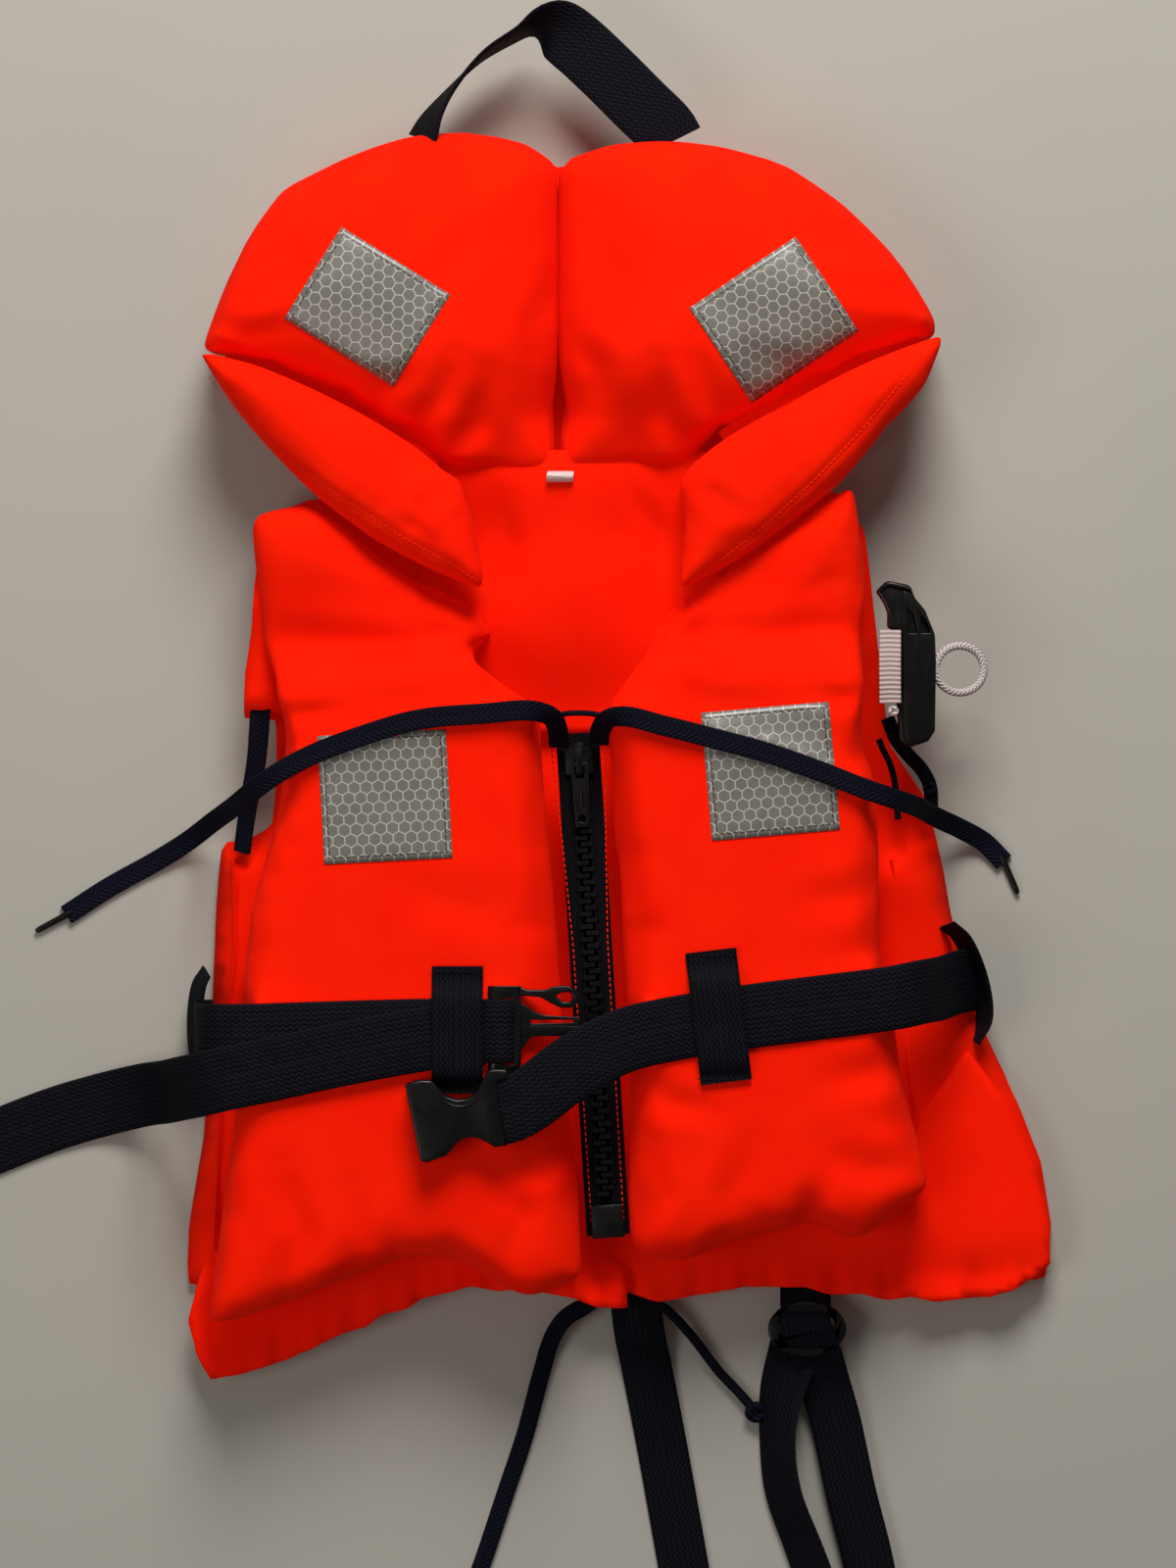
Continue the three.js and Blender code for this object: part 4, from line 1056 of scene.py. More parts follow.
# collar lobes and lapels
lobeSetup = {
    "left": {
        "bottom": 1.5, "reach": 46, "edge": 0.34,
        "folds": [
            ([(-68, 139), (-58, 150), (-52, 166)], 2.6, 5.0), ([(-56, 128), (-44, 142), (-40, 160)], 3.0, 5.0),
            ([(-86, 146), (-80, 156), (-66, 160)], 1.6, 5.0), ([(-40, 214), (-54, 204), (-62, 190)], 1.6, 7.0),
            ([(-146, 180), (-132, 176), (-116, 178)], 1.8, 4.0), ([(-14, 196), (-20, 180), (-18, 160)], 2.0, 5.0),
        ],
    },
    "right": {
        "bottom": 1.5, "reach": 46, "edge": 0.34,
        "folds": [
            ([(54, 140), (46, 154), (40, 172)], 2.6, 5.0), ([(38, 128), (30, 144), (28, 164)], 2.8, 5.0),
            ([(84, 154), (76, 164), (62, 166)], 1.6, 5.0), ([(0, 214), (10, 200), (12, 184)], 1.4, 6.0),
            ([(128, 196), (112, 192), (98, 196)], 1.6, 4.5), ([(-8, 176), (4, 162), (6, 146)], 2.2, 5.0),
            ([(52, 210), (44, 196), (46, 182)], 1.0, 7.0),
        ],
    },
}
lapelSetup = {
    "left": {
        "bottom": 29.5, "reach": 20, "edge": 0.42,
        "seam": [(-149, 160), (-134, 141), (-118, 127), (-94, 110), (-72, 96), (-52, 85), (-41, 77.5)],
        "folds": [([(-52, 118), (-60, 112), (-66, 104)], 1.6, 4.0), ([(-60, 92), (-66, 99), (-74, 102)], 1.0, 3.0)],
    },
    "right": {
        "bottom": 29.5, "reach": 20, "edge": 0.42,
        "seam": [(134, 171), (120, 154), (106, 137), (88, 118), (66, 98), (46, 83), (38, 77)],
        "folds": [([(40, 116), (50, 112), (58, 104)], 1.6, 4.0), ([(52, 90), (60, 96), (70, 98)], 1.0, 3.0)],
    },
}


def even(points):
    return np.ones(len(points))


def towardsNeck(points):
    # the lobes get lower towards the neck opening
    middle = ease(62 - np.abs(points[:, 0] + 9), 0, 34)
    return 1 - 0.42 * middle * ease(-points[:, 1], -176, -124)


def joinedAtNeck(points):
    # and keep no rounded edge where they are sewn to the neck cloth
    middle = ease(58 - np.abs(points[:, 0] + 9), 0, 26)
    return 0.92 * middle * ease(-points[:, 1], -150, -130)


def addCollar():
    for side, setup in lobeSetup.items():
        lobe = skinOf(f"lobe_{side}", [f"collar_foam_{side}"], 4.8, neonCloth)
        crowned(lobe, setup, towardsNeck, joinedAtNeck)
        settle(lobe, 16, 4.5, 5.0, 0.03)
        points = readPoints(lobe)
        points[:, 2] = np.clip(points[:, 2], setup["bottom"], 57.5)
        writePoints(lobe, points)
        subdivided(lobe)
        foldInto(lobe, setup["folds"], 16)
        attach(lobe, "collar")
        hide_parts(f"collar_cover_{side}", f"collar_foam_{side}")
    for side, setup in lapelSetup.items():
        lapel = skinOf(f"fold_{side}", [f"lapel_foam_{side}"], 3.4, neonCloth)
        crowned(lapel, setup, even)
        settle(lapel, 14, 4.0, 3.5, 0.02)
        subdivided(lapel)
        foldInto(lapel, [(setup["seam"], 0.8, 1.3)], 38)
        foldInto(lapel, setup["folds"], 38)
        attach(lapel, "collar")
        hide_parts(f"lapel_cover_{side}", f"lapel_foam_{side}")


# the cloth that joins each lapel to its lobe, down in the fold
joinRoutes = {
    "left": [
        [-143, 166.5, 28, 0, 0], [-128, 163, 30, 0, 0], [-110, 157, 31, 0, 0], [-95, 149, 31.5, 0, 0],
        [-81, 140.5, 32, 0, 0], [-68, 133, 32, 0, 0], [-58, 127, 30, 0, 0],
    ],
    "right": [
        [131, 173.5, 28, 0, 0], [109, 165, 30, 0, 0], [95, 158.5, 31, 0, 0], [81, 151, 31.5, 0, 0],
        [67, 142, 32, 0, 0], [55, 133, 30, 0, 0],
    ],
}


def addJoins():
    for side, route in joinRoutes.items():
        for n, spot in enumerate(route):
            before, after = route[max(0, n - 1)], route[min(len(route) - 1, n + 1)]
            spot[3] = math.degrees(math.atan2(after[1] - before[1], after[0] - before[0])) + 90
            if side == "right":
                spot[3] -= 180
        join = strip(f"join_{side}", route, 13, 1.2, neonCloth, 3.0, -2.0)
        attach(join, "collar")


addJoins()
addCollar()
print("collar made")


# sheets
def clothSheet(name, outline, height, thickness, material, cell=4.5):
    # a cut sheet, cell by cell, with its height set by a rule, and some thickness
    border = denser(outline, cell * 0.7)
    low, high = border.min(0), border.max(0)
    rows = []
    for j, y in enumerate(np.arange(low[1], high[1], cell * 0.87)):
        for x in np.arange(low[0] + (j % 2) * cell / 2, high[0], cell):
            rows.append((x, y))
    inner = np.array(rows)
    inner = inner[insideOf(border, inner)]
    inner = inner[edgeDistance(border, inner) > cell * 0.5]
    spots = [Vector(p) for p in np.vstack([border, inner])]
    loop = [(i, (i + 1) % len(border)) for i in range(len(border))]
    flat, edges, faces = delaunay_2d_cdt(spots, loop, [], 1, 1e-5)[:3]
    plan = np.array([tuple(p) for p in flat])
    z = height(plan, edgeDistance(border, plan))
    points = np.column_stack([plan, z])
    obj = newMesh(name, points, [tuple(f) for f in faces], material, plan)
    solid = obj.modifiers.new("thickness", "SOLIDIFY")
    solid.thickness = thickness * mm
    solid.offset = 0
    return applyModifiers(obj)


def areaOf(outline):
    a = np.array(outline, float)
    b = np.roll(a, -1, axis=0)
    return abs((a[:, 0] * b[:, 1] - b[:, 0] * a[:, 1]).sum()) / 2


def declareSheet(outline, spare=1.06):
    span = (np.array(outline).max(0) - np.array(outline).min(0)) * mm * 1.05
    area = min(areaOf(outline) * mm * mm * spare, span[0] * span[1])
    area = max(area, 0.31 * span[0] * span[1])


sheetSetup = {
    "skirtLeft": [
        [-152, -190], [-120, -178], [-20, -158], [-4, -150], [4, -150], [5.6, -179], [9, -186], [15, -192.4],
        [15.3, -206.8], [4, -206.4], [-6, -202.8], [-14, -201.5], [-24, -198.8], [-36, -200.4], [-46, -198.2],
        [-56, -201], [-66, -203.4], [-72, -207.4], [-82, -209.8], [-88, -214.6],
        [-98, -217.4], [-108, -222.4], [-120, -227.8], [-136, -232.8], [-149, -235.4], [-154, -226], [-158, -212],
    ],
    "skirtRight": [
        [4, -160], [60, -166], [125, -158], [132, -130], [150, -105], [165, -125], [176, -150], [182.4, -175],
        [182.6, -190], [176, -194.6], [168, -199.8], [158, -202.6], [148, -203.2], [138, -204.6], [128, -202.6],
        [118, -203.8], [108, -201.2], [96, -201.8], [86, -198.6], [74, -198.6], [62, -198.4], [50, -200.8],
        [40, -202.4],
        [28, -204.6], [16, -201], [6, -198],
    ],
    "back": [
        [-158, -198], [-157, -175], [-151, -140], [-148, -100], [-146, -47], [-144, -24], [-134, -23], [-125, -17],
        [-123, 4], [-123.5, 26.6], [-135.5, 27], [-134.5, 44], [-132, 60], [-129, 104], [-110, 112], [-50, 116],
        [-12, 118], [35, 117], [98, 115], [109, 100], [114, 60], [119, 16], [135, -8], [143, -54], [157, -101],
        [170, -127], [179, -150], [183, -175], [181, -196], [100, -196], [0, -196],
    ],
    "neck": [[-66, 20], [54, 20], [56, 72], [46, 131], [-58, 131], [-70, 72]],
    "collarBack": [
        [-143, 178], [-132, 214], [-112, 236], [-84, 249], [-52, 253], [-20, 249], [-11, 244], [2, 249], [30, 251],
        [62, 246], [92, 232], [116, 210], [130, 186], [122, 168], [84, 140], [44, 116], [-60, 116], [-102, 142],
        [-140, 164],
    ],
}


def skirtHeight(points, edge, side):
    # from under the pad down to the gathered hem
    down = ease(-points[:, 1], 176, 212 if side == "left" else 203)
    z = 12.6 - 2.8 * down + 2.6 * ease(13 - edge, 0, 13) * ease(-points[:, 1], 190, 200)
    nearHem = ease(22 - edge, 0, 22) * ease(-points[:, 1], 180, 196)
    lift = 0.8
    if side == "left":
        lift = 4.6 * ease(points[:, 0], -34, 6) * ease(-points[:, 1], 176, 200)
    gather = np.sin(points[:, 0] / 1.75 + 1.3 * np.sin(points[:, 0] / 9.0)) * 1.5
    gather += np.sin(points[:, 0] / 4.3 + 0.9) * 1.7
    broad = 2.6 * np.sin(points[:, 0] / 19.0 + points[:, 1] / 27.0)
    return z + lift + (0.7 * gather + 1.2) * nearHem + broad * ease(edge, 0, 20)


def addSheets():
    for side, key in (("left", "skirtLeft"), ("right", "skirtRight")):
        outline = sheetSetup[key]
        skirt = clothSheet(f"hem_{side}", outline, lambda p, e: skirtHeight(p, e, side), 1.2, neonCloth, 3.4)
        declareSheet(outline, 1.1)
        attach(skirt, "jacket")
        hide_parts(f"hem_skirt_{side}")

    def backHeight(points, edge):
        rise = 11.5 * ease(points[:, 1], 40, 96)
        soft = 1.2 * np.sin(points[:, 0] / 21 + 0.6) * np.sin(points[:, 1] / 26)
        beside = ease(-points[:, 0], 110, 126) + ease(points[:, 0], 104, 118)
        puff = 12.5 * np.sqrt(1 - (1 - np.clip(edge / 20, 0, 1)) ** 2) * beside * ease(-points[:, 1], 16, 40)
        flap = 24 * ease(-points[:, 0], 116, 124) * ease(points[:, 1], 22, 30) * ease(-points[:, 1], -96, -70)
        under = np.where(points[:, 0] > 0, 1.9 * ease(-points[:, 1], 92, 128), ease(-points[:, 1], 150, 185))
        sunk = 2.2 * ease(12 - edge, 0, 12)
        return 4.6 + rise + puff * (1 - 0.45 * under) + flap + soft * ease(edge, 4, 30) - sunk

    back = clothSheet("back_cloth", sheetSetup["back"], backHeight, 3.0, neonCloth, 6.0)
    declareSheet(sheetSetup["back"], 1.0)
    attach(back, "jacket")
    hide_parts("back_panel")

    def neckHeight(points, edge):
        crown = 13.0 * np.exp(-(((points[:, 0] + 5) / 44) ** 2) - ((points[:, 1] - 84) / 40) ** 2)
        lift = 11.0 * ease(points[:, 1], 92, 126)
        level = np.column_stack([points, points[:, 0] * 0])
        folds = crease(level, [(18, 116), (26, 100), (30, 80)], 1.8, 4.0)
        folds += crease(level, [(-34, 112), (-30, 92), (-34, 70)], 1.4, 4.5)
        sink = 4.5 * ease(-points[:, 1], -62, -26)
        return 18.4 - 3 + crown + lift + folds - sink

    neck = clothSheet("neck_cloth", sheetSetup["neck"], neckHeight, 1.2, neonCloth, 3.6)
    declareSheet(sheetSetup["neck"], 1.05)
    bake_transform(neck)
    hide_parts("neck_lining")

    def underHeight(points, edge):
        return 0.9 + 0.5 * np.sin(points[:, 0] / 17) * ease(edge, 0, 20)

    under = clothSheet("collar_under_cloth", sheetSetup["collarBack"], underHeight, 1.0, neonCloth, 6.0)
    declareSheet(sheetSetup["collarBack"], 1.0)
    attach(under, "collar")
    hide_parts("collar_back_cover")


addSheets()
gussetRoutes = {
    "left": [
        [-140, -30, 11.5, 0, 90], [-139.4, -66, 11.5, 0, 90], [-143, -100, 11.5, 0, 90], [-148, -185, 11.5, 0, 90],
    ],
    "right": [[120, -30, 11.5, 0, 90], [124.4, -66, 11.5, 0, 90], [126, -100, 11.5, 0, 90], [129, -126, 11.5, 0, 90]],
}
for side, route in gussetRoutes.items():
    gusset = strip(f"gusset_{side}", route, 13, 1.0, neonCloth, 4.0, 2.5)
    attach(gusset, "jacket")
    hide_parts(f"side_panel_{side}")
print("sheets made")


# reflective patches
patchSetup = {
    "patch_collar_left": {"at": (-86, 186), "turn": -32, "size": (50, 42), "on": "lobe_left", "body": "collar"},
    "patch_collar_right": {"at": (72.5, 181), "turn": 34, "size": (50, 44), "on": "lobe_right", "body": "collar"},
    "patch_front_left": {"at": (-79, -5), "turn": 3, "size": (50, 50), "on": "pad_left", "body": "jacket"},
    "patch_front_right": {"at": (71, 5), "turn": 5, "size": (50, 50), "on": "pad_right", "body": "jacket"},
}


def addPatches():
    # each patch lies on the cloth under it, stitched down round its edge
    for node, setup in patchSetup.items():
        wide, deep = setup["size"]
        cloth = bpy.data.objects[setup["on"]]
        tree = bvhOf([cloth])
        turn = math.radians(setup["turn"])
        count = 26
        points, thread, faces = [], [], []
        for j in range(count):
            for i in range(count):
                u, v = (i / (count - 1) - 0.5) * wide, (j / (count - 1) - 0.5) * deep
                x = setup["at"][0] + u * math.cos(turn) - v * math.sin(turn)
                y = setup["at"][1] + u * math.sin(turn) + v * math.cos(turn)
                hit = tree.ray_cast(Vector((x, y, 200)), Vector((0, 0, -1)))[0]
                points.append((x, y, hit.z if hit is not None else 55.0))
                thread.append((u, v))
        grid = np.array(points)
        z = grid[:, 2].copy().reshape(count, count)
        for again in range(4):
            z[1:-1, 1:-1] = (z[1:-1, :-2] + z[1:-1, 2:] + z[:-2, 1:-1] + z[2:, 1:-1]) / 4
        edge = np.minimum(wide / 2 - np.abs([t[0] for t in thread]), deep / 2 - np.abs([t[1] for t in thread]))
        sewn = 0.3 * np.exp(-(((edge - 2.2) / 0.9) ** 2)) + 0.3 * (edge < 0.5)
        grid[:, 2] = np.maximum(z.ravel(), grid[:, 2]) + 0.75 - sewn
        for j in range(count - 1):
            for i in range(count - 1):
                a = j * count + i
                faces.append((a, a + 1, a + 1 + count, a + count))
        name = node.replace("patch", "reflector")
        patch = newMesh(name, grid, faces, patchMaterial(name, (wide / 2, deep / 2)), thread)
        solid = patch.modifiers.new("thickness", "SOLIDIFY")
        solid.thickness = 0.5 * mm
        solid.offset = -1
        applyModifiers(patch)
        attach(patch, setup["body"])
        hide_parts(node)


addPatches()
print("patches made")


# moulded parts
def softEdged(name, node, material, width, body, segments=2):
    # a moulded part from its solid, with its edges rounded
    data = frame["nodes"][node].data.copy()
    data.name = name
    work = bmesh.new()
    work.from_mesh(data)
    bmesh.ops.remove_doubles(work, verts=work.verts, dist=0.00002)
    bmesh.ops.dissolve_limit(work, angle_limit=math.radians(3), verts=work.verts, edges=work.edges)
    work.to_mesh(data)
    work.free()
    obj = bpy.data.objects.new(name, data)
    scene.collection.objects.link(obj)
    bevel = obj.modifiers.new("edges", "BEVEL")
    bevel.width = width * mm
    bevel.segments = segments
    bevel.limit_method = "ANGLE"
    bevel.angle_limit = math.radians(32)
    applyModifiers(obj)
    obj.data.set_sharp_from_angle(angle=math.radians(38))
    obj.data.materials.clear()
    obj.data.materials.append(material)
    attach(obj, body)
    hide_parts(node)


def plate(name, outline, bottom, top, material, bevel, body, holes=()):
    # a moulded plate cut to an outline, with rounded edges and any holes through it
    work = bmesh.new()
    loops = [denser(outline, 1.6)] + [denser(hole, 1.2) for hole in holes]
    spots, edges = [], []
    for loop in loops:
        base = len(spots)
        spots += [Vector(p) for p in loop]
        edges += [(base + i, base + (i + 1) % len(loop)) for i in range(len(loop))]
    flat, edges, faces = delaunay_2d_cdt(spots, edges, [], 2 if holes else 1, 1e-6)[:3]
    plan = np.array([tuple(p) for p in flat])
    if holes:
        middle = np.array([plan[list(f)].mean(0) for f in faces])
        keep = insideOf(loops[0], middle)
        for loop in loops[1:]:
            keep &= ~insideOf(loop, middle)
        faces = [f for f, k in zip(faces, keep) if k]
    verts = [work.verts.new((*(p * mm), bottom * mm)) for p in plan]
    made = [work.faces.new([verts[i] for i in f]) for f in faces]
    raised = bmesh.ops.extrude_face_region(work, geom=made)
    for vert in [v for v in raised["geom"] if isinstance(v, bmesh.types.BMVert)]:
        vert.co.z = top * mm
    bmesh.ops.recalc_face_normals(work, faces=work.faces)
    bmesh.ops.dissolve_limit(work, angle_limit=math.radians(2), verts=work.verts, edges=work.edges)
    data = bpy.data.meshes.new(name)
    work.to_mesh(data)
    work.free()
    data.materials.append(material)
    obj = bpy.data.objects.new(name, data)
    scene.collection.objects.link(obj)
    rounded = obj.modifiers.new("edges", "BEVEL")
    rounded.width = bevel * mm
    rounded.segments = 3
    rounded.limit_method = "ANGLE"
    rounded.angle_limit = math.radians(40)
    applyModifiers(obj)
    obj.data.set_sharp_from_angle(angle=math.radians(34))
    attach(obj, body)
    return obj


def addBuckle():
    softEdged("buckle_frame", "buckle_male", blackPlastic, 0.7, "jacket")
    arm = [
        (-27.7, -78.6), (-23.1, -80), (-16.9, -80), (-13.1, -78.6), (-8.5, -78.2), (-4.6, -80), (-3.1, -82.4),
        (-3.9, -85.1), (-6.9, -87), (-10.8, -87), (-14.6, -85.1), (-18.5, -82.8), (-23.9, -82.4), (-27.7, -82.2),
    ]
    eye = [(-12.5, -82.4), (-10, -80.9), (-7, -80.8), (-5.4, -82.7), (-6.9, -84.7), (-10, -84.7)]
    middle = -96  # the two arms mirror each other about this line
    for which, body, flip in (("upper", "prong_a", 1), ("lower", "prong_b", -1)):
        outline, hole = ([(u, middle + flip * (v - middle)) for u, v in loop] for loop in (arm, eye))
        blade = plate(f"buckle_arm_{which}", outline, 59.8, 63.8, blackPlastic, 0.6, body, [hole])
        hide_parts(f"buckle_prong_{which}")
    fish = [
        (-27.4, -85), (-24.3, -85.8), (-21.2, -88.4), (-16.5, -90), (-3.1, -90.6), (-3.1, -93.8), (-16.5, -94.8),
        (-20.4, -96.6), (-23.5, -100), (-26.2, -104), (-27.4, -107),
    ]
    slit = [(-22.4, -91.6), (-4.8, -91.6), (-4.8, -92.7), (-22.4, -93.2)]
    plate("buckle_guide", fish, 60.4, 63.6, blackPlastic, 0.5, "jacket", [slit])
    # housing: two shells with scooped sides and a knuckle, joined by walls
    shell = [
        (-71, -116.4), (-65.5, -114.8), (-60.5, -114.8), (-58.2, -117.8), (-55.1, -120.9), (-50.8, -122.4),
        (-46.2, -121.7), (-43.1, -119), (-41.2, -115.2), (-39.9, -112.6), (-38.9, -111), (-36.2, -110.4),
        (-31.4, -110.6), (-30.6, -111.8), (-30.8, -114), (-35.6, -115.6), (-34.2, -127), (-32, -137.8),
        (-33.2, -140.4),
        (-36.2, -140.8), (-39.7, -138.6), (-43.5, -137), (-47.4, -137), (-50.8, -139), (-53.1, -142), (-54.7, -144),
        (-59.3, -145.6), (-63.1, -147.1), (-65.1, -145.6), (-66.6, -138.6), (-69.3, -125.2),
    ]
    for name, low, high in (("socket_shell_upper", 68.6, 71.7), ("socket_shell_lower", 61.0, 63.3)):
        half = plate(name, shell, low, high, blackPlastic, 0.9, "buckle_socket")
        if high > 70:
            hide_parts("buckle_female")
    walls = {
        "socket_wall_back": [(-40.5, -118.5), (-37.2, -117), (-34.8, -137), (-38.2, -136.6)],
        "socket_wall_upper": [(-69.4, -117.2), (-61.2, -116), (-60.4, -118.6), (-69, -119.8)],
        "socket_wall_lower": [(-63.8, -145.2), (-56.4, -142.8), (-57, -140.4), (-64.4, -142.6)],
    }
    for name, outline in walls.items():
        plate(name, outline, 62.6, 69.4, blackPlastic, 0.3, "buckle_socket")
    knuckles = {
        "socket_ear_upper": [(-39, -111.2), (-32.2, -111), (-31.8, -112.2), (-32.2, -113.6), (-38.6, -114.4)],
        "socket_ear_lower": [(-38.6, -137), (-31.6, -138), (-30.2, -139.6), (-32.6, -140.6), (-38, -140.4)],
    }
    for name, outline in knuckles.items():
        plate(name, outline, 63.4, 69.4, blackPlastic, 0.9, "buckle_socket")
    bar = [(-36, -111.5), (-35.4, -120), (-34.6, -130), (-33.8, -139.4)]
    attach(tube("socket_bar", [(*p, 66.4) for p in bar], 4.4, blackPlastic, 2.0, 14), "buckle_socket")
    rim = [(-61, -117), (-58.4, -120.4), (-54.9, -123.6), (-50.6, -125), (-45.6, -124.2), (-41.8, -121.2)]
    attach(tube("socket_rim", [(*p, 71.5) for p in rim], 1.1, blackPlastic, 1.0, 8), "buckle_socket")


addBuckle()


# zip
def zipPlace(u, v, w=0.0):
    # u across the zip, v down it, w above its middle
    a = math.radians(zipSetup["turn"])
    x = zipSetup["x"] + u * math.cos(a) + v * math.sin(a)
    y = zipSetup["y"] + u * math.sin(a) - v * math.cos(a)
    return (x, y, zipSetup["z"] + w)


toothPlan = [(3.6, 0.85), (2.6, 1.2), (0.6, 0.85), (-0.6, 1.25), (-1.35, 0.8)]  # place across, half width


def addZip():
    long = zipSetup["length"]
    behind = [[*zipPlace(0, v, -2.4), zipSetup["turn"]] for v in np.linspace(-3, long - 1, 14)]
    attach(strip("zip_backing", behind, 11, 0.6, zipTapeCloth, 4.0), "jacket")
    for side, sign in (("left", -1), ("right", 1)):
        route = [[*zipPlace(sign * 5.7, v), zipSetup["turn"]] for v in np.linspace(0, long, 14)]
        tape = strip(f"tape_{side}", route, 5.6, 0.8, zipTapeCloth, 3.0)
        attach(tape, "jacket")
        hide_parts(f"zip_tape_{side}")
        bead = [[*zipPlace(sign * 3.0, v, 0.35), 0] for v in np.linspace(0.4, long - 1, 14)]
        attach(tube(f"tape_bead_{side}", bead, 1.1, zipTapeCloth, 2.0, 8), "jacket")
        points, faces = [], []
        start = 3.2 + (0 if sign < 0 else zipSetup["pitch"])
        for n, v in enumerate(np.arange(start, long - zipSetup["box"] - 1, 2 * zipSetup["pitch"])):
            # one moulded tooth: a foot over the tape's bead and a rounded head across the middle
            base = len(points)
            layers = ((-1.5, 0.75), (-1.15, 1), (1.15, 1), (1.5, 0.7))
            for w, share in layers:
                for u, half in toothPlan + [(u, -half) for u, half in reversed(toothPlan)]:
                    points.append(zipPlace(sign * (1.1 + (u - 1.1) * (0.9 + 0.1 * share)), v - half * share, w))
            for r in range(len(layers) - 1):
                for j in range(10):
                    k = (j + 1) % 10
                    faces.append((base + r * 10 + j, base + r * 10 + k, base + r * 10 + 10 + k, base + r * 10 + 10 + j))
            faces.append(tuple(base + j for j in reversed(range(10))))
            faces.append(tuple(base + 30 + j for j in range(10)))
        teeth = newMesh(f"teeth_{side}", points, faces, zipPlastic, None, 40)
        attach(teeth, "jacket")
        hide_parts(f"zip_teeth_{side}")
    softEdged("box_end", "zip_box", zipPlastic, 0.5, "jacket")
    softEdged("zip_runner", "zip_slider", zipPlastic, 0.45, "slider")
    softEdged("zip_tab", "zip_puller", zipPlastic, 0.4, "puller")
    ridge = [zipPlace(0, v, 5.15) for v in (16.5, 20, 24, 27.5)]
    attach(tube("zip_tab_rib", ridge, 1.3, zipPlastic, 1.0, 8, ([0, 0.2, 0.8, 1], [0.5, 1, 1, 0.5])), "puller")
    for u in (-3.4, 3.4):
        pin = [zipPlace(u, v, 2.6) for v in (long - 12.4, long - 8, long - 3)]
        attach(tube(f"box_rail_{'left' if u < 0 else 'right'}", pin, 1.5, zipPlastic, 1.5, 8), "jacket")


addZip()
print("buckle and zip made")


# whistle, label and tri-glide
whistleSetup = {"low": 31.2, "high": 43.0}


def addWhistle():
    low, high = whistleSetup["low"], whistleSetup["high"]
    body = [
        (112.8, 75.5), (117, 79.7), (126.3, 77.8), (127.8, 73.2), (132, 68.1), (135.9, 58.5), (136.3, 47.7),
        (135.9, 20.8), (133.2, 16.6), (125.5, 14.2), (122, 17.3), (120.9, 32.3), (120.9, 59.7), (117.2, 61.2),
        (117.4, 67), (115.7, 71.2),
    ]
    slots = [
        [(124.9, 69.5), (127.4, 66.4), (128.9, 60.5), (128.9, 58.9), (125.2, 58.9)],
        [(130.1, 66.2), (132.4, 63.2), (134.0, 59.0), (130.3, 59.0)],
    ]
    core = plate("whistle_body_core", body, low, high - 2.2, blackPlastic, 1.0, "whistle_body")
    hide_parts("whistle")
    inner = [
        (123.4, 75.6), (126.2, 74.4), (127.2, 72.2), (131.4, 67.2), (135.1, 58.2), (135.4, 47.7), (135.0, 21.4),
        (132.6, 17.8), (126, 15.8), (124, 18.6), (123.4, 40), (123.2, 58), (122.6, 66),
    ]
    plate("whistle_body_lid", inner, high - 2.4, high, blackPlastic, 0.9, "whistle_body", slots)
    lip = [(114.2, 75.6, high - 2.6), (117.6, 78.2, high - 2.2), (122, 77.4, high - 2.0), (126, 76.2, high - 2.2)]
    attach(tube("whistle_lip", lip, 2.2, blackPlastic, 1.0, 8), "whistle_body")
    holder = [[118.2, 31.8, 43.4, 0], [118.1, 40, 44.2, 0], [118.1, 50, 44.2, 0], [118.2, 60.2, 43.4, 0]]
    band = strip("holder_band", holder, 8.6, 1.6, whiteRibs, 1.5, 0.5)
    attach(band, "jacket")
    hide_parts("whistle_holder")
    tie = knot("whistle_knot", (119.4, 28.6, 43.6), 2.6, whiteBraid)
    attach(tie, "jacket")


addWhistle()


def addWhistleStrap():
    route = [
        [117.6, 26, 31, 20], [121.4, 17, 29, 24], [126.4, 11, 26.4, 30], [131.6, 5.4, 23, 30], [134.8, -1, 20.4, 12],
        [135.4, -9, 17.8, 0],
    ]
    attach(strip("whistle_strap", route, 5.6, 1.6, navyBelt, 1.2), "jacket")
    for n, spot in enumerate([(130.4, 6.8, 24.8), (134.6, -1.6, 21.4)]):
        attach(knot(f"strap_knot_{n + 1}", spot, 3.2, navyLace), "jacket")


addWhistleStrap()


def addLabel():
    # a folded tape, its fold outwards
    low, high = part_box("collar_label")
    x, y, z = (low.x + high.x) / 2 / mm, high.y / mm, high.z / mm
    route = [
        [x, y + 2.6, z - 9, 0], [x + 0.2, y + 1.6, z - 3.4, 0], [x, y + 0.4, z - 0.8, 0], [x, y - 1.4, z - 2.2, 0],
        [x - 0.2, y - 1.7, z - 8, 0],
    ]
    label = strip("care_label", route, 10.4, 0.6, labelCloth, 0.8)
    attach(label, "collar")
    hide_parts("collar_label")


addLabel()
softEdged("tri_glide", "crotch_tri_glide", blackPlastic, 1.2, "jacket", 3)
crotchBandRoute = [
    [86, -190, 7.6, 0], [86, -200, 8.2, 0], [86, -207, 11, 0], [86, -212.6, 14.2, 0], [86.6, -216.6, 14.3, 0],
]
crotchBand = strip("crotch_band", crotchBandRoute, 20, 1.8, navyBelt, 1.5, 0.3)
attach(crotchBand, "jacket")
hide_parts("crotch_strap_right")
print("small parts made")


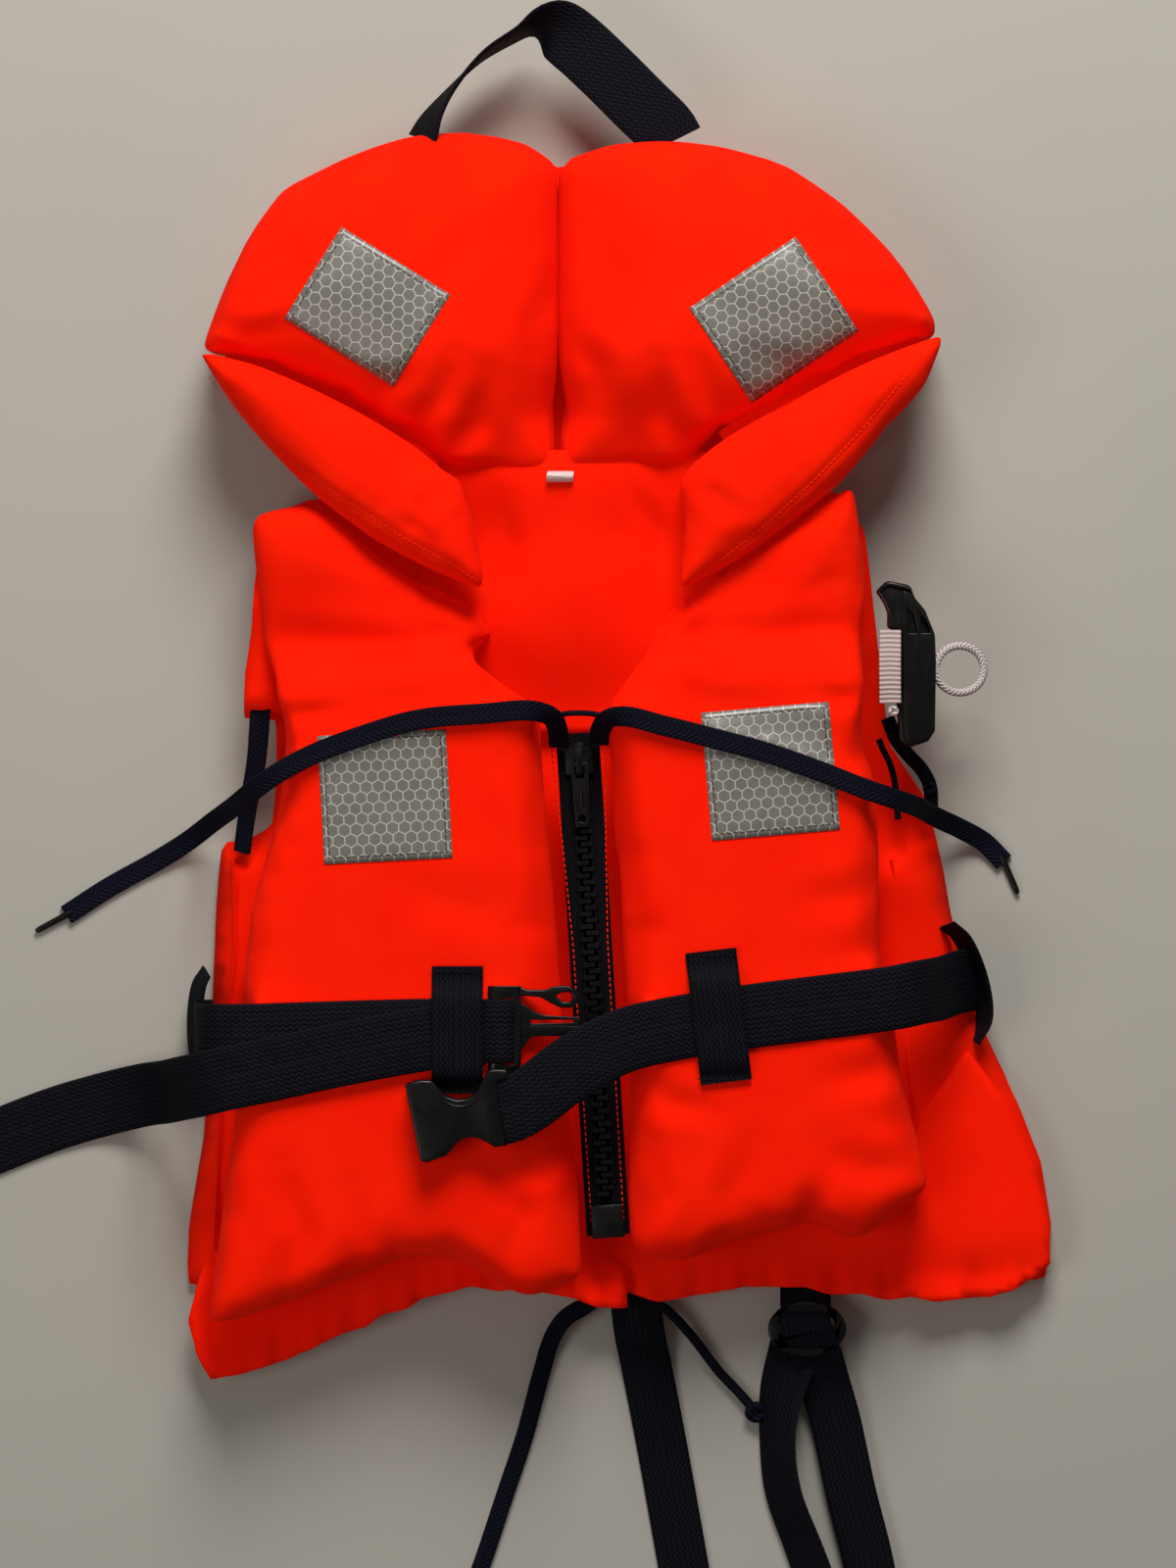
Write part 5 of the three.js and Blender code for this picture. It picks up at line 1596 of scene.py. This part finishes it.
# seams in thread
def addSeams():
    # sewn lines lie on the cloth under them
    for side in ("left", "right"):
        line = denserLine(lapelSetup[side]["seam"], 1.2)
        over = draped(f"fold_{side}", line, 0.15)
        stitches(f"lapel_seam_{side}", [over], neonThread, 2.2, 0.42, "collar")
    for side, sign in (("left", -1), ("right", 1)):
        line = [zipPlace(sign * (np.interp(v, *zipOpening) + 1.9), v)[:2] for v in np.linspace(2, 190, 120)]
        stitches(f"zip_seam_{side}", [draped(f"pad_{side}", line, 0.2)], neonThread, 2.4, 0.55)


def denserLine(line, step):
    line = np.array(line, float)
    along = np.r_[0, np.cumsum(np.linalg.norm(np.diff(line, axis=0), axis=1))]
    spots = np.linspace(0, along[-1], max(2, round(along[-1] / step)))
    return [(np.interp(s, along, line[:, 0]), np.interp(s, along, line[:, 1])) for s in spots]


def draped(cloth, line, lift, fallback=34.0):
    tree = bvhOf([bpy.data.objects[cloth]])
    rows = []
    for x, y in line:
        hit = tree.ray_cast(Vector((x, y, 200)), Vector((0, 0, -1)))[0]
        rows.append((x, y, (hit.z if hit is not None else fallback) + lift))
    return rows


addSeams()
print("seams sewn")


# floor and light
def addFloor():
    material, tree, shader = newMaterial("floorPaint")
    spot = vectorCalc(tree, "MULTIPLY", ownPlace(tree), (1000, 1000, 1000))
    cloud = noiseValue(tree, spot, 0.006, 3.0)
    shader.inputs["Roughness"].default_value = 0.55
    shader.inputs["Specular IOR Level"].default_value = 0.25
    paint = mixColour(tree, cloud, (0.305, 0.296, 0.265, 1), (0.335, 0.323, 0.292, 1))
    wire(tree, shader.inputs["Base Color"], paint)
    bumped(tree, shader, noiseValue(tree, spot, 0.4, 2.0), 0.05, 0.1)
    size, sunk = 2600, -0.15
    corners = [(-size, -size, sunk), (size, -size, sunk), (size, size, sunk), (-size, size, sunk)]
    newMesh("floor", corners, [(0, 1, 2, 3)], material)


def addLight(name, place, aim, size, power, colour):
    data = bpy.data.lights.new(name, "AREA")
    data.shape = "DISK"
    data.size = size
    data.energy = power
    data.color = colour
    light = bpy.data.objects.new(name, data)
    light.location = place
    light.rotation_euler = (Vector(aim) - Vector(place)).to_track_quat("-Z", "Y").to_euler()
    scene.collection.objects.link(light)


lightSetup = {  # place, aim, size, power, colour
    "window": ((0.1, 1.35, 1.12), (0, 0, 0), 0.85, 42.0, (1.0, 0.97, 0.93)),
    "fill": ((-1.15, -0.45, 1.45), (0, 0, 0), 0.9, 9.0, (1.0, 0.96, 0.92)),
}
addFloor()
for name, values in lightSetup.items():
    addLight(name, *values)
world = bpy.data.worlds.new("room")
scene.world = world
world.use_nodes = True
world.node_tree.nodes["Background"].inputs["Color"].default_value = (1.0, 0.97, 0.93, 1)
world.node_tree.nodes["Background"].inputs["Strength"].default_value = 0.17
print("floor and light set")
